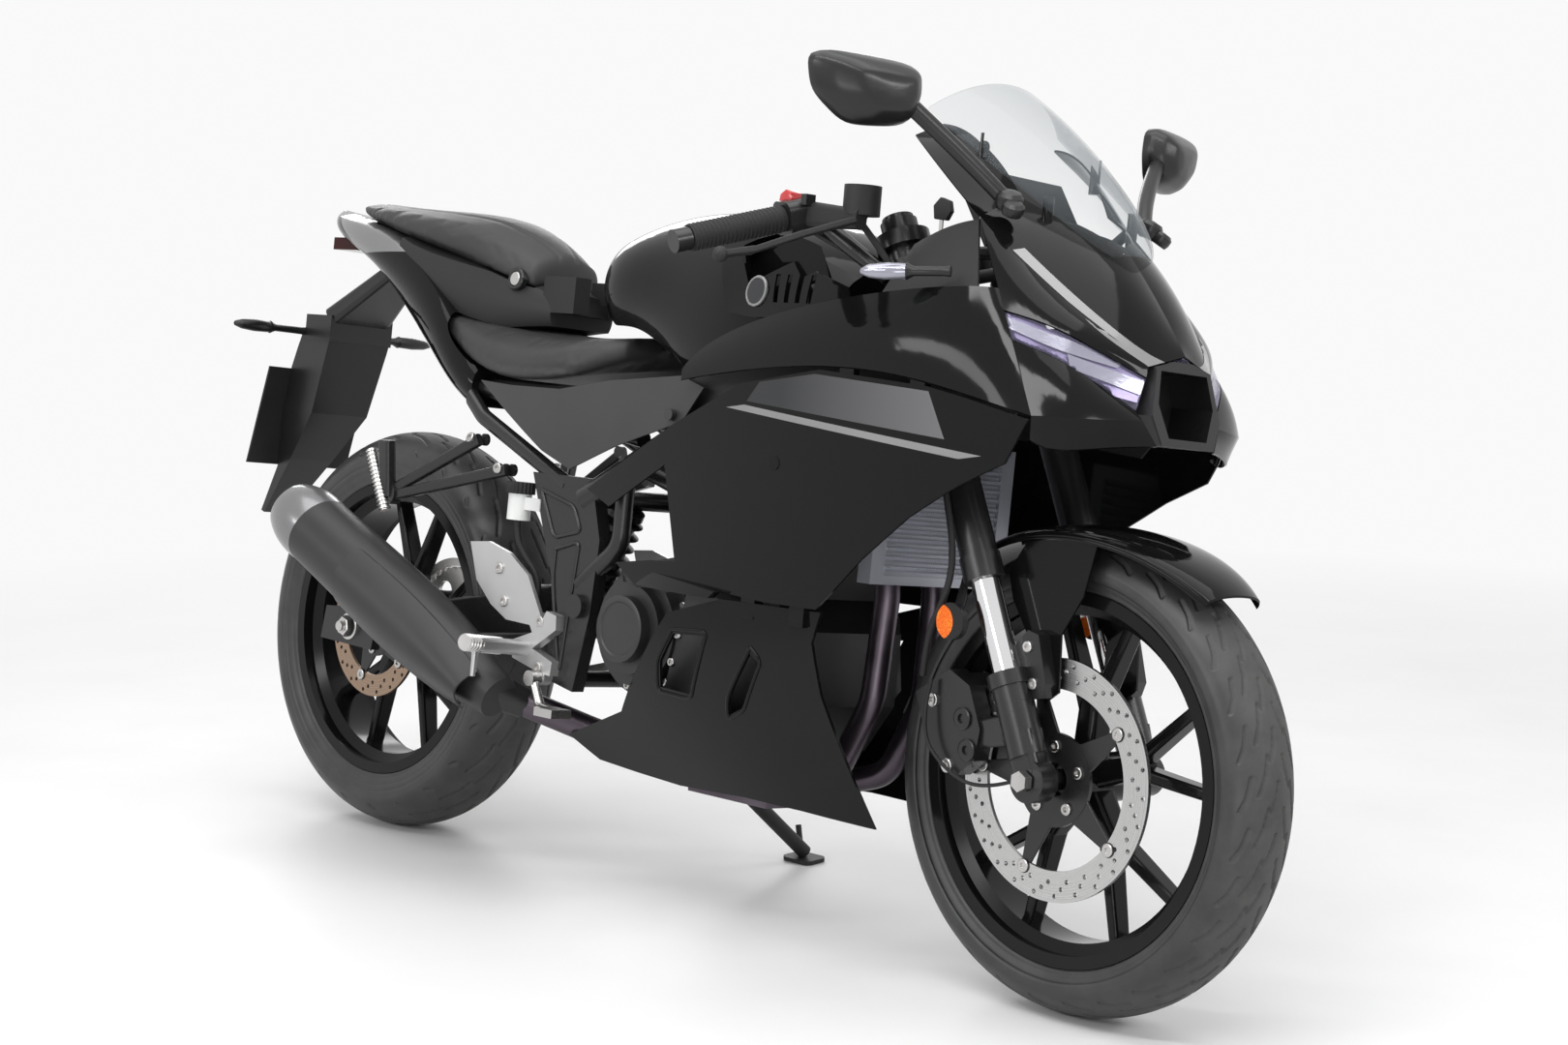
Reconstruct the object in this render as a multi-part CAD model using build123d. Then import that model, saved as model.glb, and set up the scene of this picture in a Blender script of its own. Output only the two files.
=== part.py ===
from build123d import *
import os
from collections import namedtuple
from math import cos, pi, radians, sin, tan

# Sport motorcycle, millimetres.  It is laid out upright: +X forward, +Y to the rider's left,
# +Z up, origin on the ground midway between the tyre contacts.  place() at the end turns the
# steering to rest, leans the machine onto its side stand and moves the origin below its middle.

# ---------------------------------------------------------------- driving dimensions
WHEELBASE = 1380.0
RAKE = 25.0                 # steering axis from the vertical
TRAIL = 95.0
LEAN = 8.0                  # onto the side stand, on the left
REST_STEER = -3.4           # minus is to the right
WALL = 3.0                  # moulded body panels
FIT = 0.3                   # between pieces that seat on each other
RUNNING_FIT = 0.05          # radial, at bearings and pins

Tyre = namedtuple("Tyre", "radius width rim_width")
FRONT_TYRE = Tyre(293.0, 112.0, 84.0)
REAR_TYRE = Tyre(314.0, 142.0, 112.0)
BEAD_RADIUS = 223.0
RIM_FLANGE_RADIUS = 231.0
RIM_WALL = 5.0

FORK_HALF_SPACING = 100.0
FORK_OUTER_RADIUS = 26.0
FORK_INNER_RADIUS = 18.5
FRONT_AXLE_RADIUS = 8.0
REAR_AXLE_RADIUS = 10.0
STEM_RADIUS = 15.0

SEAT_HALF_WIDTH = 150.0

# ---------------------------------------------------------------- derived places
FRONT_AXLE = Vector(WHEELBASE / 2, 0, FRONT_TYRE.radius)
REAR_AXLE = Vector(-WHEELBASE / 2, 0, REAR_TYRE.radius)
STEER_DIR = Vector(-sin(radians(RAKE)), 0, cos(radians(RAKE)))
FORK_FORWARD = Vector(cos(radians(RAKE)), 0, sin(radians(RAKE)))
STEER_GROUND = Vector(WHEELBASE / 2 + TRAIL, 0, 0)
SWING_PIVOT = Vector(-124, 0, 409)


def at_fork(along, y, forward=0.0):
    """A point by its distance up the fork from the axle, its side and its place ahead of the tube."""
    return FRONT_AXLE + STEER_DIR * along + FORK_FORWARD * forward + Vector(0, y, 0)


STEER_OFFSET = (FRONT_AXLE - STEER_GROUND).dot(FORK_FORWARD)    # from the steering axis to the fork


def on_steering_axis(along):
    return at_fork(along, 0, -STEER_OFFSET)


# ---------------------------------------------------------------- shape helpers
def cylinder(start, end, radius):
    start, end = Vector(start), Vector(end)
    return Solid.make_cylinder(radius, (end - start).length, Plane(start, z_dir=end - start))


def ring(start, end, outer, inner):
    return cylinder(start, end, outer) - cylinder(start, end, inner)


def prism(outline, near, far):
    """Side-view outline of (x, z) points, from y = near to y = far."""
    face = Face(Wire.make_polygon([(x, near, z) for x, z in outline], close=True))
    return Solid.extrude(face, Vector(0, far - near, 0))


def box(low, high):
    size = Vector(high) - Vector(low)
    return Solid.make_box(size.X, size.Y, size.Z, Plane(Vector(low)))


def tube(points, radius, bend):
    path = FilletPolyline(*points, radius=bend)
    return sweep(Plane(path @ 0, z_dir=path % 0) * Circle(radius), path=path)


def strut(start, end, start_size, end_size, across):
    """A tapered bar of rounded rectangles; across is the direction of the first size."""
    start, end = Vector(start), Vector(end)
    sections = []
    for place, (wide, deep) in ((start, start_size), (end, end_size)):
        plane = Plane(place, x_dir=across, z_dir=end - start)
        sections.append(plane * RectangleRounded(wide, deep, min(wide, deep) * 0.3))
    return loft(sections, ruled=True)


def mirrored(shape):
    return mirror(shape, Plane.XZ)


def through(points):
    """Bezier poles of the curve through 2, 3 or 4 evenly spaced points."""
    q = [Vector(p) for p in points]
    if len(q) == 3:
        return [q[0], (q[1] * 4 - q[0] - q[2]) / 2, q[2]]
    if len(q) == 4:
        return [q[0], (q[0] * -5 + q[1] * 18 - q[2] * 9 + q[3] * 2) / 6,
                (q[0] * 2 - q[1] * 9 + q[2] * 18 - q[3] * 5) / 6, q[3]]
    return q


def surface(rows):
    """A smooth face through a small grid of points."""
    columns = zip(*[through(row) for row in rows])
    poles = [through(column) for column in columns]
    return Face.make_bezier_surface([list(row) for row in zip(*poles)])


def skin(rows, inward):
    """The surface, given a wall by drawing it along inward."""
    return Solid.extrude(surface(rows), Vector(inward))


def beyond(rows, away, gap):
    """The space on one side of a surface, to cut pieces that seat against it."""
    return skin(rows, away).moved(Location(gap))


Section = namedtuple("Section", "x low low_half mid mid_half shoulder shoulder_half top")


def body(sections):
    """A symmetric solid lofted through cross-sections: flat base, bowed sides, crowned top."""
    wires = []
    for s in sections:
        right = [(s.x, -s.low_half, s.low), (s.x, -s.mid_half, s.mid),
                 (s.x, -s.shoulder_half, s.shoulder)]
        left = [(x, -y, z) for x, y, z in reversed(right)]
        wires.append(Wire([Edge.make_three_point_arc(*right),
                           Edge.make_three_point_arc(right[2], (s.x, 0, s.top), left[0]),
                           Edge.make_three_point_arc(*left),
                           Edge.make_line(left[2], right[0])]))
    return Solid.make_loft(wires)


# ---------------------------------------------------------------- wheels
def tyre(centre, t):
    half = t.width / 2
    bead = t.rim_width / 2
    shoulder = (half - 2, t.radius - t.width * 0.31)
    lip, seat = bead + 4.6, RIM_FLANGE_RADIUS + 0.3
    wall = (half - 1.0, BEAD_RADIUS + 26)
    with BuildSketch(Plane.YZ.offset(0)) as profile:
        with BuildLine():
            ThreePointArc((-shoulder[0], shoulder[1]), (0, t.radius), shoulder)
            ThreePointArc(shoulder, wall, (lip, seat))
            Polyline((lip, seat), (bead, seat), (bead, BEAD_RADIUS), (-bead, BEAD_RADIUS),
                     (-bead, seat), (-lip, seat))
            ThreePointArc((-lip, seat), (-wall[0], wall[1]), (-shoulder[0], shoulder[1]))
        make_face()
    return revolve(profile.sketch, Axis.Y).moved(Location(centre))


SPOKES = 5
HUB_RADIUS = 31.0
SPOKE_FORK = 96.0           # where each spoke parts in two
SPOKE_SPREAD = 15.5         # degrees each way at the rim


def rim(centre, t, hub_half, bore, carrier_end=0.0):
    inner_half = t.rim_width / 2 + 0.4
    half = inner_half + 4
    barrel = BEAD_RADIUS - 0.2
    well = barrel - 17
    outer = [(-half, RIM_FLANGE_RADIUS), (-inner_half, RIM_FLANGE_RADIUS), (-inner_half, barrel),
             (-half * 0.62, barrel), (-half * 0.5, well)]
    inner = [(half * 0.55, well - RIM_WALL), (half * 0.7, barrel - RIM_WALL - 2), (half, barrel - 8)]
    outline = outer + [(-y, r) for y, r in reversed(outer)]
    outline += [(half, barrel - 8)] + list(reversed(inner[:2])) + [(-y, r) for y, r in inner]
    face = Face(Wire.make_polygon([(0, y, r) for y, r in outline], close=True))
    solid = revolve(face, Axis.Y)
    parts = [cylinder((0, -hub_half, 0), (0, hub_half, 0), HUB_RADIUS)]
    if carrier_end:
        parts.append(cylinder((0, hub_half - 20, 0), (0, carrier_end, 0), 62))
    reach = well - 2
    for i in range(SPOKES):
        turn = radians(90 + 360 / SPOKES * i)
        def polar(radius, offset):
            angle = turn + radians(offset)
            return Vector(radius * cos(angle), 0, radius * sin(angle))
        parts.append(strut(polar(HUB_RADIUS - 8, 0), polar(SPOKE_FORK, 0), (34, 44), (30, 34),
                           polar(1, 90)))
        for side in (-1, 1):
            parts.append(strut(polar(SPOKE_FORK - 14, side * 3), polar(reach, side * SPOKE_SPREAD),
                               (17, 33), (15, 26), polar(1, 90)))
    solid = solid.fuse(*parts)
    solid = solid - cylinder((0, -hub_half - 1, 0), (0, hub_half + carrier_end + 1, 0), bore)
    return solid.moved(Location(centre))


BOBBIN_RADIUS = 9.0         # buttons that float the disc on its carrier
BOBBINS = 5


def bobbin_place(i, outer, band):
    angle = 2 * pi * (i + 0.5) / BOBBINS
    return Vector(cos(angle), 0, sin(angle)) * (outer - band + 7)


def brake_disc(centre, y, outer, band, thick, holes_per_row):
    """A drilled ring with a round seat for each bobbin."""
    near, far = Vector(0, y - thick / 2, 0), Vector(0, y + thick / 2, 0)
    over = Vector(0, 1, 0)
    drills = [cylinder(near - over + bobbin_place(i, outer, band), far + over + bobbin_place(i, outer, band),
                       BOBBIN_RADIUS + FIT) for i in range(BOBBINS)]
    for row in range(3):
        radius = outer - band * (0.2 + 0.22 * row)
        for i in range(holes_per_row):
            angle = 2 * pi * (i + row / 3) / holes_per_row
            spot = Vector(radius * cos(angle), 0, radius * sin(angle))
            drills.append(cylinder(near - over + spot, far + over + spot, 3.0))
    return ring(near, far, outer, outer - band).cut(*drills).moved(Location(centre))


def disc_carrier(centre, y, outer, band, thick, hub_radius, hub_face):
    """Five-armed carrier between the hub and the disc's bobbins."""
    near, far = y - thick / 2, y + thick / 2
    parts = [ring((0, near, 0), (0, far, 0), hub_radius, HUB_RADIUS - 10),
             ring((0, near, 0), (0, hub_face, 0), HUB_RADIUS + 6, HUB_RADIUS - 10)]
    for i in range(BOBBINS):
        spot = bobbin_place(i, outer, band)
        radial = spot.normalized()
        base = Vector(0, y, 0)
        parts.append(strut(base + radial * (hub_radius - 10), base + radial * (outer - band - 1),
                           (thick - 1, 40), (thick - 1, 15), (0, 1, 0)))
        parts.append(cylinder(spot + Vector(0, near - 1, 0), spot + Vector(0, far + 1, 0), BOBBIN_RADIUS))
    return parts[0].fuse(*parts[1:]).moved(Location(centre))


FRONT_DISC_Y = -62.0
REAR_DISC_Y = -72.0
FRONT_DISC_RADIUS = 149.0
REAR_DISC_RADIUS = 110.0
DISC_THICK = 5.0
SPROCKET_Y = 86.0
SPROCKET_TEETH = 43
SPROCKET_THICK = 6.5
CHAIN_PITCH = 15.875
CHAIN_BAND = 6.5            # from the pitch line to the plates' edges
DRIVE_SPROCKET = Vector(-34, 0, 411)
DRIVE_RADIUS = 36.0


def sprocket(centre, y, teeth, thick, bore):
    pitch_radius = CHAIN_PITCH / (2 * sin(pi / teeth))
    tip = pitch_radius - CHAIN_BAND - 1.0
    points = []
    for i in range(teeth):
        for offset, radius in ((-0.32, tip - 5), (-0.16, tip), (0.16, tip), (0.32, tip - 5)):
            angle = 2 * pi * (i + offset) / teeth
            points.append((radius * cos(angle), radius * sin(angle)))
    plate = prism(points, y - thick / 2, y + thick / 2)
    windows = []
    for i in range(6):
        angle = 2 * pi * i / 6
        x, z = tip * 0.66 * cos(angle), tip * 0.66 * sin(angle)
        windows.append(cylinder((x, y - thick, z), (x, y + thick, z), 17))
    windows.append(cylinder((0, y - thick, 0), (0, y + thick, 0), bore))
    return plate.cut(*windows).moved(Location(centre))


# ---------------------------------------------------------------- front end, steering straight
LOWER_CLAMP = 560.0         # distances up the fork from the axle
UPPER_CLAMP = 712.0
COLLAR = 262.0
FORK_TOP = 742.0
AXLE_END = 116.0
HUB_HALF = 52.0
FENDER_HALF = 70.5
SKIRT_RADIUS = 292.0        # the skirts end just under the arch's edge


def fork_outer(side):
    y = side * FORK_HALF_SPACING
    leg = ring(at_fork(COLLAR, y), at_fork(FORK_TOP, y), FORK_OUTER_RADIUS - 2, FORK_INNER_RADIUS + 2)
    wiper = ring(at_fork(COLLAR - 6, y), at_fork(COLLAR + 26, y), FORK_OUTER_RADIUS,
                 FORK_INNER_RADIUS + 0.1)
    cap = cylinder(at_fork(FORK_TOP - 12, y), at_fork(FORK_TOP + 6, y), FORK_INNER_RADIUS + 2)
    return leg.fuse(wiper, cap)


def fork_inner(side):
    """The bright stanchion."""
    y = side * FORK_HALF_SPACING
    return cylinder(at_fork(40, y), at_fork(COLLAR + 200, y), FORK_INNER_RADIUS)


def fork_foot(side):
    """The casting at the stanchion's end that holds the axle and the fender's lug."""
    y = side * FORK_HALF_SPACING
    parts = [cylinder(at_fork(30, y), at_fork(118, y), 24), cylinder(at_fork(118, y), at_fork(136, y), 27),
             cylinder(FRONT_AXLE + Vector(0, y - 14, 0), FRONT_AXLE + Vector(0, y + 14, 0), 27),
             strut(at_fork(0, y), at_fork(60, y), (40, 27), (46, 40), FORK_FORWARD),
             prism([(636, 420), (652, 386), (684, 392), (690, 410), (672, 468), (654, 472),
                    (636, 452)], side * (FENDER_HALF + WALL + FIT), side * 94)]
    seat = cylinder(at_fork(40 - FIT, y), at_fork(200, y), FORK_INNER_RADIUS + RUNNING_FIT)
    axle_bore = cylinder(FRONT_AXLE + Vector(0, y - 20, 0), FRONT_AXLE + Vector(0, y + 20, 0),
                         FRONT_AXLE_RADIUS + FIT / 3)
    return parts[0].fuse(*parts[1:]).cut(seat, axle_bore)


def clamp(along, thick, stem_gap):
    """A triple clamp: two split eyes joined by a bridge round the stem."""
    parts = []
    for side in (-1, 1):
        y = side * FORK_HALF_SPACING
        parts.append(cylinder(at_fork(along - thick / 2, y), at_fork(along + thick / 2, y), 36))
        start = at_fork(along, side * (FORK_HALF_SPACING - 20), -4)
        parts.append(strut(start, at_fork(along, 0, -STEER_OFFSET + 4), (thick, 44), (thick, 62),
                           STEER_DIR))
    solid = parts[0].fuse(*parts[1:])
    for side in (-1, 1):
        y = side * FORK_HALF_SPACING
        solid = solid - cylinder(at_fork(along - thick, y), at_fork(along + thick, y),
                                 FORK_OUTER_RADIUS - 2 + 0.1)
    return solid - cylinder(on_steering_axis(along - thick), on_steering_axis(along + thick), stem_gap)


def front_axle():
    shaft = cylinder((FRONT_AXLE.X, -AXLE_END, FRONT_AXLE.Z), (FRONT_AXLE.X, AXLE_END, FRONT_AXLE.Z),
                     FRONT_AXLE_RADIUS)
    head = cylinder((FRONT_AXLE.X, AXLE_END + 0.5, FRONT_AXLE.Z),
                    (FRONT_AXLE.X, AXLE_END + 8, FRONT_AXLE.Z), 14)
    centre = Vector(FRONT_AXLE.X, -AXLE_END - 12.5, FRONT_AXLE.Z)
    nut = extrude(Plane(centre, z_dir=(0, 1, 0)) * RegularPolygon(13, 6), 12)
    spacers = [ring(FRONT_AXLE + Vector(0, y0, 0), FRONT_AXLE + Vector(0, y1, 0), 13,
                    FRONT_AXLE_RADIUS - 1)
               for y0, y1 in ((-AXLE_END + 34.5, -HUB_HALF - 1), (HUB_HALF + 1, AXLE_END - 34.5))]
    return shaft.fuse(head, nut, *spacers)


def front_fender():
    """An arch over the tyre, pointed at the front, with a skirt inside each fork leg."""
    rows = []
    for angle, crown, edge, half in ((128, 311, 292, 62), (104, 312, 294, 72), (76, 313, 294, 72),
                                     (50, 322, 302, 50)):
        a = radians(angle)
        row = []
        for y, radius in ((-half, edge), (-half * 0.52, crown - 3), (half * 0.52, crown - 3),
                          (half, edge)):
            row.append(FRONT_AXLE + Vector(radius * cos(a), y, radius * sin(a)))
        rows.append(row)
    arch = skin(rows, (0.5, 0, WALL))
    under = cylinder(FRONT_AXLE - Vector(0, 100, 0), FRONT_AXLE + Vector(0, 100, 0), SKIRT_RADIUS)
    outline = [(628, 588), (735, 584), (720, 520), (690, 470), (694, 400), (672, 384), (652, 440),
               (606, 505), (596, 538)]
    skirts = [prism(outline, side * FENDER_HALF, side * (FENDER_HALF + WALL)) & under
              for side in (-1, 1)]
    return Compound([arch, *skirts])


def caliper():
    """A floating caliper astride the right-hand disc, behind the fork leg."""
    slot = DISC_THICK / 2 + 5
    outline = [(474, 372), (530, 408), (566, 392), (590, 340), (584, 300), (556, 278), (528, 284),
               (496, 322)]
    block = prism(outline, FRONT_DISC_Y - 34, FRONT_DISC_Y + 28)
    reach = FRONT_DISC_RADIUS + 6
    slot_cut = cylinder((FRONT_AXLE.X, FRONT_DISC_Y - slot, FRONT_AXLE.Z),
                        (FRONT_AXLE.X, FRONT_DISC_Y + slot, FRONT_AXLE.Z), reach)
    inner_relief = cylinder((FRONT_AXLE.X, FRONT_DISC_Y, FRONT_AXLE.Z),
                            (FRONT_AXLE.X, FRONT_DISC_Y + 60, FRONT_AXLE.Z), reach - 55)
    arm = strut(at_fork(70, -FORK_HALF_SPACING + 8, -16), at_fork(84, FRONT_DISC_Y - 20, -88),
                (40, 16), (36, 16), STEER_DIR)
    rim_room = ring((FRONT_AXLE.X, -66, FRONT_AXLE.Z), (FRONT_AXLE.X, 0, FRONT_AXLE.Z), 400, 188)
    return block.cut(slot_cut, inner_relief, rim_room).fuse(arm).cut(fork_inner(-1), fork_foot(-1))


BAR_HEIGHT = 690.0          # clip-on eyes, up the fork
GRIP_INNER = Vector(292, -205, 962)
GRIP_END = Vector(262, -352, 919)
GRIP_RADIUS = 17.0


def handlebar(side):
    y = side * FORK_HALF_SPACING
    eye = ring(at_fork(BAR_HEIGHT - 46, y), at_fork(BAR_HEIGHT - 8, y), 35, FORK_OUTER_RADIUS - 1.9)
    inner = Vector(GRIP_INNER.X, side * -GRIP_INNER.Y, GRIP_INNER.Z)
    end = Vector(GRIP_END.X, side * -GRIP_END.Y, GRIP_END.Z)
    root = at_fork(BAR_HEIGHT - 27, side * (FORK_HALF_SPACING + 37), -6)
    bar = tube([root, inner + (inner - end).normalized() * 24, end], 11, 30)
    outward = (end - inner).normalized()
    weight = cylinder(end, end + outward * 22, 15)
    return eye.fuse(bar, weight, switchgear(side))


def grip(side):
    inner = Vector(GRIP_INNER.X, side * -GRIP_INNER.Y, GRIP_INNER.Z)
    end = Vector(GRIP_END.X, side * -GRIP_END.Y, GRIP_END.Z)
    outward = (end - inner).normalized()
    return ring(inner + outward * 18, end - outward * 1, GRIP_RADIUS, 11.1)


def switchgear(side):
    inner = Vector(GRIP_INNER.X, side * -GRIP_INNER.Y, GRIP_INNER.Z)
    end = Vector(GRIP_END.X, side * -GRIP_END.Y, GRIP_END.Z)
    outward = (end - inner).normalized()
    house = strut(inner - outward * 22, inner + outward * 17, (46, 42), (44, 44), (1, 0, 0))
    house = house - cylinder(inner - outward * 60, inner + outward * 60, 11.1)
    button = box((inner.X + 20, inner.Y - 8, inner.Z + 14), (inner.X + 30, inner.Y + 8, inner.Z + 28))
    return house.fuse(button)


def lever(side):
    """Perch, lever blade with its ball end, and on the right the fluid reservoir above."""
    y = -side
    pivot = Vector(382, -178, 962)
    blade = [Vector(395, -196, 958), Vector(372, -260, 934), Vector(352, -322, 908),
             Vector(338, -362, 899)]
    def to_side(v):
        return Vector(v.X, v.Y * y, v.Z)
    parts = [strut(to_side(a), to_side(b), (18, 9), (15, 8), (1, 0, 0.3))
             for a, b in zip(blade, blade[1:])]
    parts.append(Solid.make_sphere(10, Plane(to_side(blade[-1]))))
    perch = strut(to_side(Vector(GRIP_INNER.X + 15, -192, 966)), to_side(pivot + Vector(18, -10, -2)),
                  (34, 26), (26, 20), (0, 0, 1))
    parts.append(perch)
    if side < 0:
        cup = Vector(404, -176, 0)
        parts.append(cylinder((cup.X - 18, cup.Y, 966), (cup.X - 18, cup.Y, 1004), 24))
        parts.append(strut(to_side(pivot + Vector(10, -8, 2)), (cup.X - 18, cup.Y, 976), (22, 18),
                           (26, 20), (0, 0, 1)))
    solid = parts[0].fuse(*parts[1:])
    inner = Vector(GRIP_INNER.X, side * -GRIP_INNER.Y, GRIP_INNER.Z)
    end = Vector(GRIP_END.X, side * -GRIP_END.Y, GRIP_END.Z)
    return solid.cut(handlebar(side), cylinder(inner, end + (end - inner), GRIP_RADIUS + 0.5))


def reflector(side):
    y = side * (FORK_HALF_SPACING + FORK_OUTER_RADIUS + 6)
    centre = at_fork(COLLAR - 46, y, -40)
    disc = cylinder(centre - Vector(0, 5, 0), centre + Vector(0, 5, 0), 23)
    stay = strut(centre + Vector(0, -side * 5.0, 0), at_fork(COLLAR + 10, side * FORK_HALF_SPACING, -23),
                 (18, 3), (22, 4), FORK_FORWARD)
    keep_out = cylinder(at_fork(0, side * FORK_HALF_SPACING), at_fork(COLLAR + 60, side * FORK_HALF_SPACING),
                        FORK_OUTER_RADIUS + 0.1)
    return disc.fuse(stay.cut(keep_out))


# ---------------------------------------------------------------- frame, engine and rear end
HEAD_TUBE_LOW = LOWER_CLAMP + 24
HEAD_TUBE_HIGH = UPPER_CLAMP - 18
FRAME_TUBE = 19.0
HEAD_TUBE_RADIUS = 30.0
SUBFRAME_TUBE = 12.0
PLATE_Y = 128.0             # inner face of the pivot plates
PLATE_THICK = 22.0
PIVOT_RADIUS = 11.0
RAIL_END = -439.6           # the seat rails are cut off at the tail's front face


def head_tube():
    tube_solid = ring(on_steering_axis(HEAD_TUBE_LOW), on_steering_axis(HEAD_TUBE_HIGH), HEAD_TUBE_RADIUS,
                      STEM_RADIUS + RUNNING_FIT)
    return tube_solid


def main_rail(side, radius):
    start = on_steering_axis((HEAD_TUBE_LOW + HEAD_TUBE_HIGH) / 2) + Vector(-10, side * 24, 0)
    return tube([start, (250, side * 112, 716), (60, side * 134, 676), (-141, side * 139, 560)],
                radius, [60, 120])


def down_tube(side):
    start = on_steering_axis(HEAD_TUBE_LOW + 48) + Vector(-6, side * 24, 0)
    return tube([start, (300, side * 116, 640), (160, side * 130, 560), (-10, side * 139, 610)],
                14, [50, 80])


def main_frame(side):
    """Main rail, down tube, pivot plate and the seat rail of one side."""
    rail = main_rail(side, FRAME_TUBE)
    lower = down_tube(side)
    brace = tube([(-60, side * 139, 624), (-60, side * 139, 500), (-135, side * 139, 440)], 13, 40)
    outline = [(-250, 590), (-120, 590), (-92, 505), (-98, 400), (-120, 288), (-184, 300),
               (-168, 400), (-210, 495)]
    plate = prism(outline, side * PLATE_Y, side * (PLATE_Y + PLATE_THICK))
    seat_rail = tube([(-180, side * 139, 575), (-400, side * 130, 662), (RAIL_END - 12, side * 121, 696)],
                     SUBFRAME_TUBE, 60)
    top_rail = tube([(-40, side * 132, 652), (-300, side * 114, 682), (RAIL_END - 12, side * 101, 708)],
                    SUBFRAME_TUBE, 200)
    solid = rail.fuse(lower, brace, plate, seat_rail, top_rail)
    pivot_bore = cylinder((SWING_PIVOT.X, side * 100, SWING_PIVOT.Z),
                          (SWING_PIVOT.X, side * 170, SWING_PIVOT.Z), PIVOT_RADIUS + 0.1)
    neck = cylinder(on_steering_axis(HEAD_TUBE_LOW - 30), on_steering_axis(HEAD_TUBE_HIGH + 30), HEAD_TUBE_RADIUS)
    behind_rails = box((RAIL_END - 60, -200, 600), (RAIL_END, 200, 760))
    return solid.cut(pivot_bore, neck, behind_rails)


def frame_cross_members():
    low = cylinder((-156, -PLATE_Y, 302), (-156, PLATE_Y, 302), 12)
    high = cylinder((-205, -PLATE_Y, 560), (-205, PLATE_Y, 560), 14)
    return low, high


def engine_block():
    """Crankcase and forward-leaning twin cylinders, one sealed mass."""
    case = prism([(-92, 470), (-70, 330), (-20, 262), (215, 252), (262, 320), (262, 420), (190, 486),
                  (40, 500)], -104, 104)
    barrel = prism([(70, 470), (228, 462), (296, 640), (278, 700), (110, 700), (92, 640)], -96, 96)
    head = prism([(96, 640), (306, 640), (292, 716), (116, 716)], -88, 88)
    sprocket_pocket = prism([(-100, 500), (14, 500), (14, 356), (-100, 330)], 70, 110)
    mounts = [cylinder((150, side * 80, 692), (150, side * 128, 692), 15) - main_rail(side, FRAME_TUBE + FIT)
              for side in (-1, 1)]
    at = DRIVE_SPROCKET
    output = cylinder((at.X, 60, at.Z), (at.X, SPROCKET_Y + 6, at.Z), 12)
    teeth = cylinder((at.X, SPROCKET_Y - SPROCKET_THICK / 2, at.Z),
                     (at.X, SPROCKET_Y + SPROCKET_THICK / 2, at.Z), DRIVE_RADIUS - CHAIN_BAND - FIT)
    return (case.fuse(barrel, head) - sprocket_pocket).fuse(output, teeth, *mounts)


def engine_cover(side):
    """Round case cover with a stepped rim, low on one side of the engine."""
    face_y = side * 104.0
    centre_x, centre_z = -3.0, 391.0
    steps = [(0, 26, 92), (26, 44, 78), (44, 58, 62)]
    if side < 0:
        steps.append((58, 72, 46))
    discs = [cylinder((centre_x, face_y + side * a, centre_z), (centre_x, face_y + side * b, centre_z), r)
             for a, b, r in steps]
    lobe = prism([(60, 300), (190, 280), (236, 340), (220, 440), (90, 460)], face_y, face_y + side * 40)
    return discs[0].fuse(*discs[1:], lobe)


def radiator():
    """Fin core between two end tanks, tilted with the front of the engine."""
    width, height, thick = 262.0, 186.0, 22.0
    core = Solid.make_box(thick, width, height, Plane((-thick / 2, -width / 2, -height / 2)))
    cuts = []
    pitch = 12.0
    count = int((height - 20) / pitch)
    for i in range(count):
        z = -height / 2 + 10 + pitch * (i + 0.5)
        cuts.append(Solid.make_box(4, width - 50, pitch - 4,
                                   Plane((thick / 2 - 4, -width / 2 + 25, z - (pitch - 4) / 2))))
    core = core.cut(*cuts).moved(Location((399, 0, 592)))
    lugs = [strut((390, side * 112, 640), (306, side * 116, 642), (20, 8), (16, 8), (0, 0, 1))
            - down_tube(side) for side in (-1, 1)]
    return core.fuse(*lugs)


HEADER_RADIUS = 17.0
LINK_END = Vector(-236, -128, 254)


def exhaust_headers():
    pipes = []
    for side in (-1, 1):
        pipes.append(tube([(306.4, side * 42, 664), (338, side * 42, 664), (366, side * 46, 480),
                           (362, side * 50, 340), (310, side * 52, 236), (206, side * 46, 204)],
                          HEADER_RADIUS, [28, 90, 90, 60]))
    collector = box((60, -78, 176), (214, 78, 236))
    link = tube([(64, -44, 206), (-60, -56, 214), (-150, -72, 226), LINK_END], 20, [120, 90])
    return pipes[0].fuse(pipes[1], collector, link)


MUFFLER_START = Vector(-236, -186, 264)
MUFFLER_END = Vector(-650, -226, 462)


def muffler_direction():
    return (MUFFLER_END - MUFFLER_START).normalized()


def muffler():
    axis = muffler_direction()
    length = (MUFFLER_END - MUFFLER_START).length
    sections = [(0, 52, 30), (70, 74, 44), (200, 92, 56), (length, 88, 56)]
    faces = []
    for along, tall, wide in sections:
        plane = Plane(MUFFLER_START + axis * along, x_dir=(0, 1, 0), z_dir=axis)
        faces.append(plane * Ellipse(wide, tall * 0.62))
    can = loft(faces)
    pipe = strut(LINK_END + Vector(-6, -4, 1), MUFFLER_START + axis * 30, (38, 38), (50, 50), (0, 1, 0))
    return can.fuse(pipe) - exhaust_headers()


def muffler_cap():
    axis = muffler_direction()
    start = MUFFLER_END + axis * FIT
    faces = []
    for along, tall, wide in ((0, 88, 56), (40, 86, 54), (70, 70, 44)):
        plane = Plane(start + axis * along, x_dir=(0, 1, 0), z_dir=axis)
        faces.append(plane * Ellipse(wide, tall * 0.62))
    cap = loft(faces)
    mouth = cylinder(start + axis * 30, start + axis * 90, 24)
    return cap - mouth


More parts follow.
